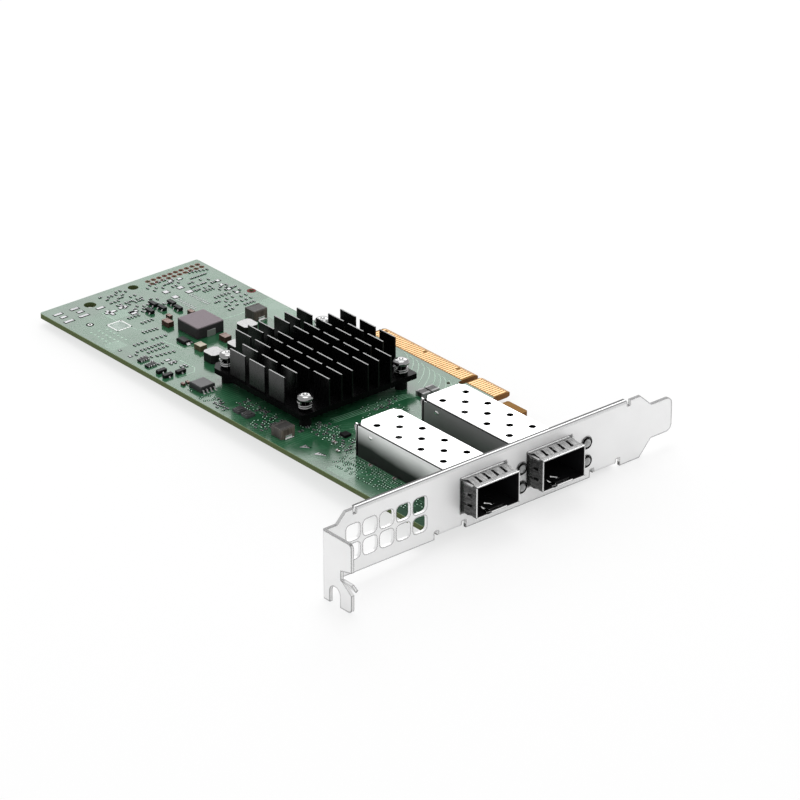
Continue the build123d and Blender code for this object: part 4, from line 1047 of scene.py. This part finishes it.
def make_rings():
    """Red rings of the pin header's holes and of one hole, a target ring and a pale square."""
    red = bmesh.new()
    hole_edge = bmesh.new()
    white = bmesh.new()
    patch = bmesh.new()
    dark = bmesh.new()
    header_columns = (-107.45, -105.45)
    header_start = -32.9
    header_pitch = 2.0
    target = (-95.05, -62.7)
    left, right, bottom, top = -91.9, -86.5, -59.4, -54.2
    line = 0.4
    for column in header_columns:
        for row in range(10):
            ring(red, column, header_start + header_pitch * row, board_top + lift, 0.48, 0.80)
    ring(hole_edge, -83.45, -14.0, board_top + lift, 0.72, 1.35, 24)
    ring(white, *target, board_top + lift * 2.0, 0.36, 0.72, 24)
    disc(dark, *target, board_top + lift, 1.15, 24)
    for low, high in (
        ((left, bottom), (right, bottom + line)),
        ((left, top - line), (right, top)),
        ((left, bottom), (left + line, top)),
        ((right - line, bottom), (right, top)),
    ):
        block(white, (*low, board_top), (*high, board_top + 0.04))
    block(patch, (left + 0.3, bottom + 0.3, board_top), (right - 0.3, top - 0.3, board_top + 0.03))
    piece("hole_rings", red, ring_look)
    piece("hole_edge", hole_edge, ring_look)
    piece("target_ring", white, paint_look)
    piece("bare_patch", patch, patch_look)
    piece("ring_outline", dark, gap_and_shade_look)


# Count, width, steps in x and y to the next, and points of each track or bundle of tracks
tracks = (
    (1, 0.3, 0.0, 0.0, ((-99.0, -55.6), (-92.3, -55.6), (-84.3, -54.6), (-82.0, -52.6))),
    (1, 0.35, 0.0, 0.0, ((-73.6, -53.4), (-66.6, -52.4), (-64.8, -51.0), (-64.4, -46.0))),
    (1, 0.35, 0.0, 0.0, ((-60.9, -57.3), (-54.4, -57.0), (-52.3, -58.8), (-52.7, -64.0))),
    (1, 0.35, 0.0, 0.0, ((-74.1, -34.2), (-73.3, -26.5), (-74.0, -22.0))),
    (1, 0.3, 0.0, 0.0, ((-76.2, -21.2), (-76.2, -13.0))),
    (4, 0.26, 0.75, 0.0, ((-5.9, -48.5), (-5.8, -46.9), (-4.7, -24.0), (-2.9, -20.0))),
    (7, 0.22, 0.0, 0.7, ((14.0, -58.3), (24.0, -58.2), (27.0, -60.7), (40.0, -60.8))),
    (6, 0.24, 1.1, 0.0, ((2.0, -48.0), (3.0, -44.0), (3.0, -40.0))),
)


def make_tracks():
    """Tracks with straight runs, and a bundle that curves away from the edge contacts."""
    work = bmesh.new()
    height = board_top + lift
    for count, width, step_x, step_y, points in tracks:
        for number in range(count):
            moved = [(x + step_x * number, y + step_y * number) for x, y in points]
            ribbon(work, moved, width, height)
    steps = 12
    for number in range(9):
        start_x = -24.5 + 2.6 * number
        start_y = -6.6 - 0.25 * number
        shares = [step / steps for step in range(steps + 1)]
        curve = [(start_x + 9.5 * share, start_y - 9.0 * share**1.7) for share in shares]
        ribbon(work, curve, 0.24, height)
    piece("raised_tracks", work, track_look)


make_board_parts()
make_pads()
make_solder()
make_red_parts()
make_vias()
make_rings()
make_tracks()


# Edge contacts carried over the bevel to the tips
def make_contact_tips():
    work = bmesh.new()
    half = 0.35
    key_gap = 0.95
    bevel_run = 1.3
    bevel_depth = 0.42
    upper = board_top + lift
    tip = (-0.1, board_top - bevel_depth * 0.92 + lift)
    low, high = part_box("upper_contacts")
    stations = ((high.y / MM, upper), (-bevel_run, upper), tip)
    for group_low, group_high in ((low.x / MM, -key_gap), (key_gap, high.x / MM)):
        for number in range(round(group_high - group_low)):
            x = group_low + half + number
            rims = [[work.verts.new((x + side, y, z)) for side in (-half, half)] for y, z in stations]
            for near, far in zip(rims, rims[1:]):
                work.faces.new((near[0], near[1], far[1], far[0]))
    piece("contact_tips", work, looks["contacts"])


# Cage seams, dimples and rear hooks
def make_cage_details():
    seams = bmesh.new()
    bright = bmesh.new()
    straps = bmesh.new()
    wall = cage_width / 2
    hook = ((0.35, -0.75), (-0.7, -0.72), (-1.1, -1.3), (-0.95, -2.6), (0.1, -3.0))
    for centre in port_centres:
        seam_y = centre - wall
        seam_low = (cage_rear + 2.2, seam_y - 0.05, cage_top - 0.34)
        block(seams, seam_low, (bracket_inner, seam_y + 0.05, cage_top - 0.10))
        for side in (-1, 1):
            for along in (cage_rear + 6.1, cage_rear + 40.4):
                dimple = (along, centre + side * (wall - 0.05), cage_top - 2.3)
                ball(bright, dimple, (0.95, 0.28, 0.62), 16, 8)
            hook_y = centre + side * (wall - 0.75)
            tube(straps, [(cage_rear + back, hook_y, cage_top + drop) for back, drop in hook], 0.24, 8)
    piece("cage_seams", seams, gap_and_shade_look)
    piece("cage_dimples", bright, rim_look, smooth=True)
    piece("cage_straps", straps, rim_look)


make_contact_tips()
make_cage_details()


# Spring gaskets, mouth rims and latch rods of the ports
def gasket_side(work, shade_marks, seat, across, outward, width, fingers):
    """Row of bowed fingers on one side of a port, joined in front and behind, with a dark plate of painted
    shade under each slot between them.
    """
    # Distance behind the port's mouth and rise from the cage's wall
    stations = (
        (0.25, 0.16),
        (1.6, 0.18),
        (1.65, 0.2),
        (3.5, 0.55),
        (3.55, 0.56),
        (4.1, 0.75),
        (5.2, 0.35),
        (9.8, 0.16),
    )
    sheet = 0.12
    slot = 0.40
    slot_start, slot_end = 1.62, 5.0
    pitch = width / fingers
    for finger in range(fingers):
        middle = -width / 2 + pitch * (finger + 0.5)
        upper = []
        lower = []
        for back, rise in stations:
            half = pitch / 2 - (slot if slot_start < back < slot_end else 0.0)
            rim = [
                seat + across * (middle + sign * half) + outward * rise + Vector((-back, 0, 0))
                for sign in (-1, 1)
            ]
            upper.append([work.verts.new(corner) for corner in rim])
            lower.append([work.verts.new(corner - outward * sheet) for corner in rim])
        for a, b, c, d in zip(upper, upper[1:], lower, lower[1:]):
            work.faces.new((a[0], a[1], b[1], b[0]))
            work.faces.new((c[0], d[0], d[1], c[1]))
            work.faces.new((a[0], b[0], d[0], c[0]))
            work.faces.new((a[1], c[1], d[1], b[1]))
        work.faces.new((upper[0][0], lower[0][0], lower[0][1], upper[0][1]))
        work.faces.new((upper[-1][0], upper[-1][1], lower[-1][1], lower[-1][0]))
        # Painted shade: a dark plate under the slot between this finger and the last
        if finger:
            corners = []
            for back, sign in ((1.7, -1), (1.7, 1), (3.4, 1), (3.4, -1)):
                edge = seat + across * (middle - pitch / 2 + sign * 0.42) + outward * 0.36
                corners.append(shade_marks.verts.new(edge + Vector((-back, 0, 0))))
            shade_marks.faces.new(corners)


def mouth_rim(work, centre):
    """Bright edges of a port's mouth and of the latch tongue in its floor."""
    outer = cage_width / 2 + 0.14
    inner = outer - 0.22
    front = port_front + 0.05
    rear = port_front - 0.25
    mouth = (
        ((-outer, -inner), (cage_low, cage_top + 0.16)),
        ((inner, outer), (cage_low, cage_top + 0.16)),
        ((-outer, outer), (cage_top - 0.10, cage_top + 0.14)),
        ((-outer, -3.6), (cage_low - 0.16, cage_low + 0.14)),
        ((3.2, outer), (cage_low - 0.16, cage_low + 0.14)),
        ((-2.2, 3.1), (cage_low + 0.10, cage_low + 0.50)),
    )
    for span_y, span_z in mouth:
        block(work, (rear, centre + span_y[0], span_z[0]), (front, centre + span_y[1], span_z[1]))
    block(work, (front - 1.7, centre - 3.8, cage_low + 0.30), (front - 0.4, centre - 2.1, cage_low + 0.40))


def make_port_details():
    sheet = bmesh.new()
    slot_shade = bmesh.new()
    rims = bmesh.new()
    rods = bmesh.new()
    middle = (cage_low + cage_top) / 2
    for centre in port_centres:
        for height, turn in ((cage_top, 1), (cage_low, -1)):
            seat = Vector((port_front, centre, height))
            gasket_side(sheet, slot_shade, seat, Vector((0, 1, 0)), Vector((0, 0, turn)), cage_width, 5)
        for side in (-1, 1):
            seat = Vector((port_front, centre + side * cage_width / 2, middle))
            outward = Vector((0, side, 0))
            gasket_side(sheet, slot_shade, seat, Vector((0, 0, 1)), outward, cage_top - cage_low, 3)
        mouth_rim(rims, centre)
        rod_x = port_front - 1.2
        knob = (rod_x, centre - 3.7, cage_low + 2.9)
        tube(rods, [knob, (rod_x, centre - 0.3, cage_low + 1.5)], 0.13)
        ball(rods, knob, (0.27, 0.27, 0.27), 12, 8)
    # Dark plates of painted shade under the gaskets' slots
    piece("gasket_slot_shade", slot_shade, gap_and_shade_look)
    piece("port_gaskets", sheet, looks["spring_sheet"], ["port_1_gasket", "port_2_gasket"])
    piece("port_rims", rims, rim_look)
    piece("latch_rods", rods, rim_look, smooth=True)


def make_lenses():
    """Domed ends of the light pipes, and dark rings of painted shade round them where each hole's gap lies.
    """
    domes = bmesh.new()
    shade_marks = bmesh.new()
    lens_front = bracket_outer + 0.32
    lens_aside = 13.08
    lens_heights = (0.98, 6.42)
    for centre in port_centres:
        for height in lens_heights:
            y, z = centre + lens_aside, board_top + height
            ball(domes, (lens_front, y, z), (0.55, 1.2, 1.2), 24, 12)
            # Painted shade: two dark rings round each lens for the gap and shadow in its hole
            for radius, wire in ((1.24, 0.17), (1.62, 0.12)):
                loop = [
                    (lens_front, y + radius * math.cos(turn), z + radius * math.sin(turn))
                    for turn in (*turns_of(24), math.tau)
                ]
                tube(shade_marks, loop, wire, 6)
    piece("lens_domes", domes, looks["light_pipe"], smooth=True)
    piece("lens_gap_shade", shade_marks, gap_and_shade_look)


make_port_details()
make_lenses()


# Floor under the card's three resting points: screw tab, bracket corner and far board corner
def floor_plane():
    """A point of the floor and the way it faces."""
    bracket_low, bracket_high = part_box("mounting_bracket")
    board_low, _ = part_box("circuit_board")
    tab_inset = 8.7 * MM
    corner_inset = Vector((11.0, 11.6)) * MM
    corner_height = -3.585 * MM
    board_corner = -12.7 * MM
    tab = Vector((bracket_high.x - tab_inset, bracket_low.y, bracket_low.z))
    corner = Vector((bracket_high.x - corner_inset.x, bracket_high.y - corner_inset.y, corner_height))
    far = Vector((board_low.x, board_corner, board_low.z))
    normal = (corner - tab).cross(far - tab).normalized()
    return tab, normal if normal.z > 0 else -normal


def floor_look():
    """Pale and matt under the lamps, a little brighter to the camera and in reflections."""
    material = bpy.data.materials.new("studio_floor")
    material.use_nodes = True
    tree = material.node_tree
    tree.nodes.clear()
    diffuse = add_node(tree, "ShaderNodeBsdfDiffuse", {"Color": (*grey(0.93), 1)})
    glow = add_node(tree, "ShaderNodeEmission", {"Strength": 1.0})
    path = add_node(tree, "ShaderNodeLightPath").outputs
    seen = times(path["Is Camera Ray"], 0.7)
    seen = largest(seen, times(path["Is Glossy Ray"], 0.6))
    mixed = add_node(tree, "ShaderNodeMixShader", {0: seen})
    tree.links.new(diffuse.outputs[0], mixed.inputs[1])
    tree.links.new(glow.outputs[0], mixed.inputs[2])
    out = add_node(tree, "ShaderNodeOutputMaterial")
    tree.links.new(mixed.outputs[0], out.inputs[0])
    return material


def make_floor():
    point, normal = floor_plane()
    work = bmesh.new()
    bmesh.ops.create_grid(work, x_segments=1, y_segments=1, size=6.0)
    turn = Vector((0, 0, 1)).rotation_difference(normal).to_matrix().to_4x4()
    bmesh.ops.transform(work, matrix=Matrix.Translation(point) @ turn, verts=work.verts)
    new_object("floor", work, floor_look())


# Plain soft studio light
def area_light(name, place, aim, width, height, radiance):
    data = bpy.data.lights.new(name, "AREA")
    data.shape = "RECTANGLE"
    data.size = width
    data.size_y = height
    data.energy = radiance * width * height * math.pi
    light = bpy.data.objects.new(name, data)
    scene.collection.objects.link(light)
    light.location = place
    light.rotation_euler = (Vector(aim) - Vector(place)).to_track_quat("-Z", "Y").to_euler()


def make_lights():
    middle = (-0.02, -0.04, 0.0)
    area_light("rear_softbox", (-1.22, 0.98, 0.86), middle, 1.3, 0.9, 2.35)
    area_light("top_softbox", (-0.35, 0.25, 1.5), middle, 0.8, 0.8, 3.4)
    world = bpy.data.worlds.new("studio")
    world.use_nodes = True
    scene.world = world
    background = world.node_tree.nodes["Background"]
    background.inputs["Color"].default_value = (1, 1, 1, 1)
    background.inputs["Strength"].default_value = 0.75


make_floor()
make_lights()
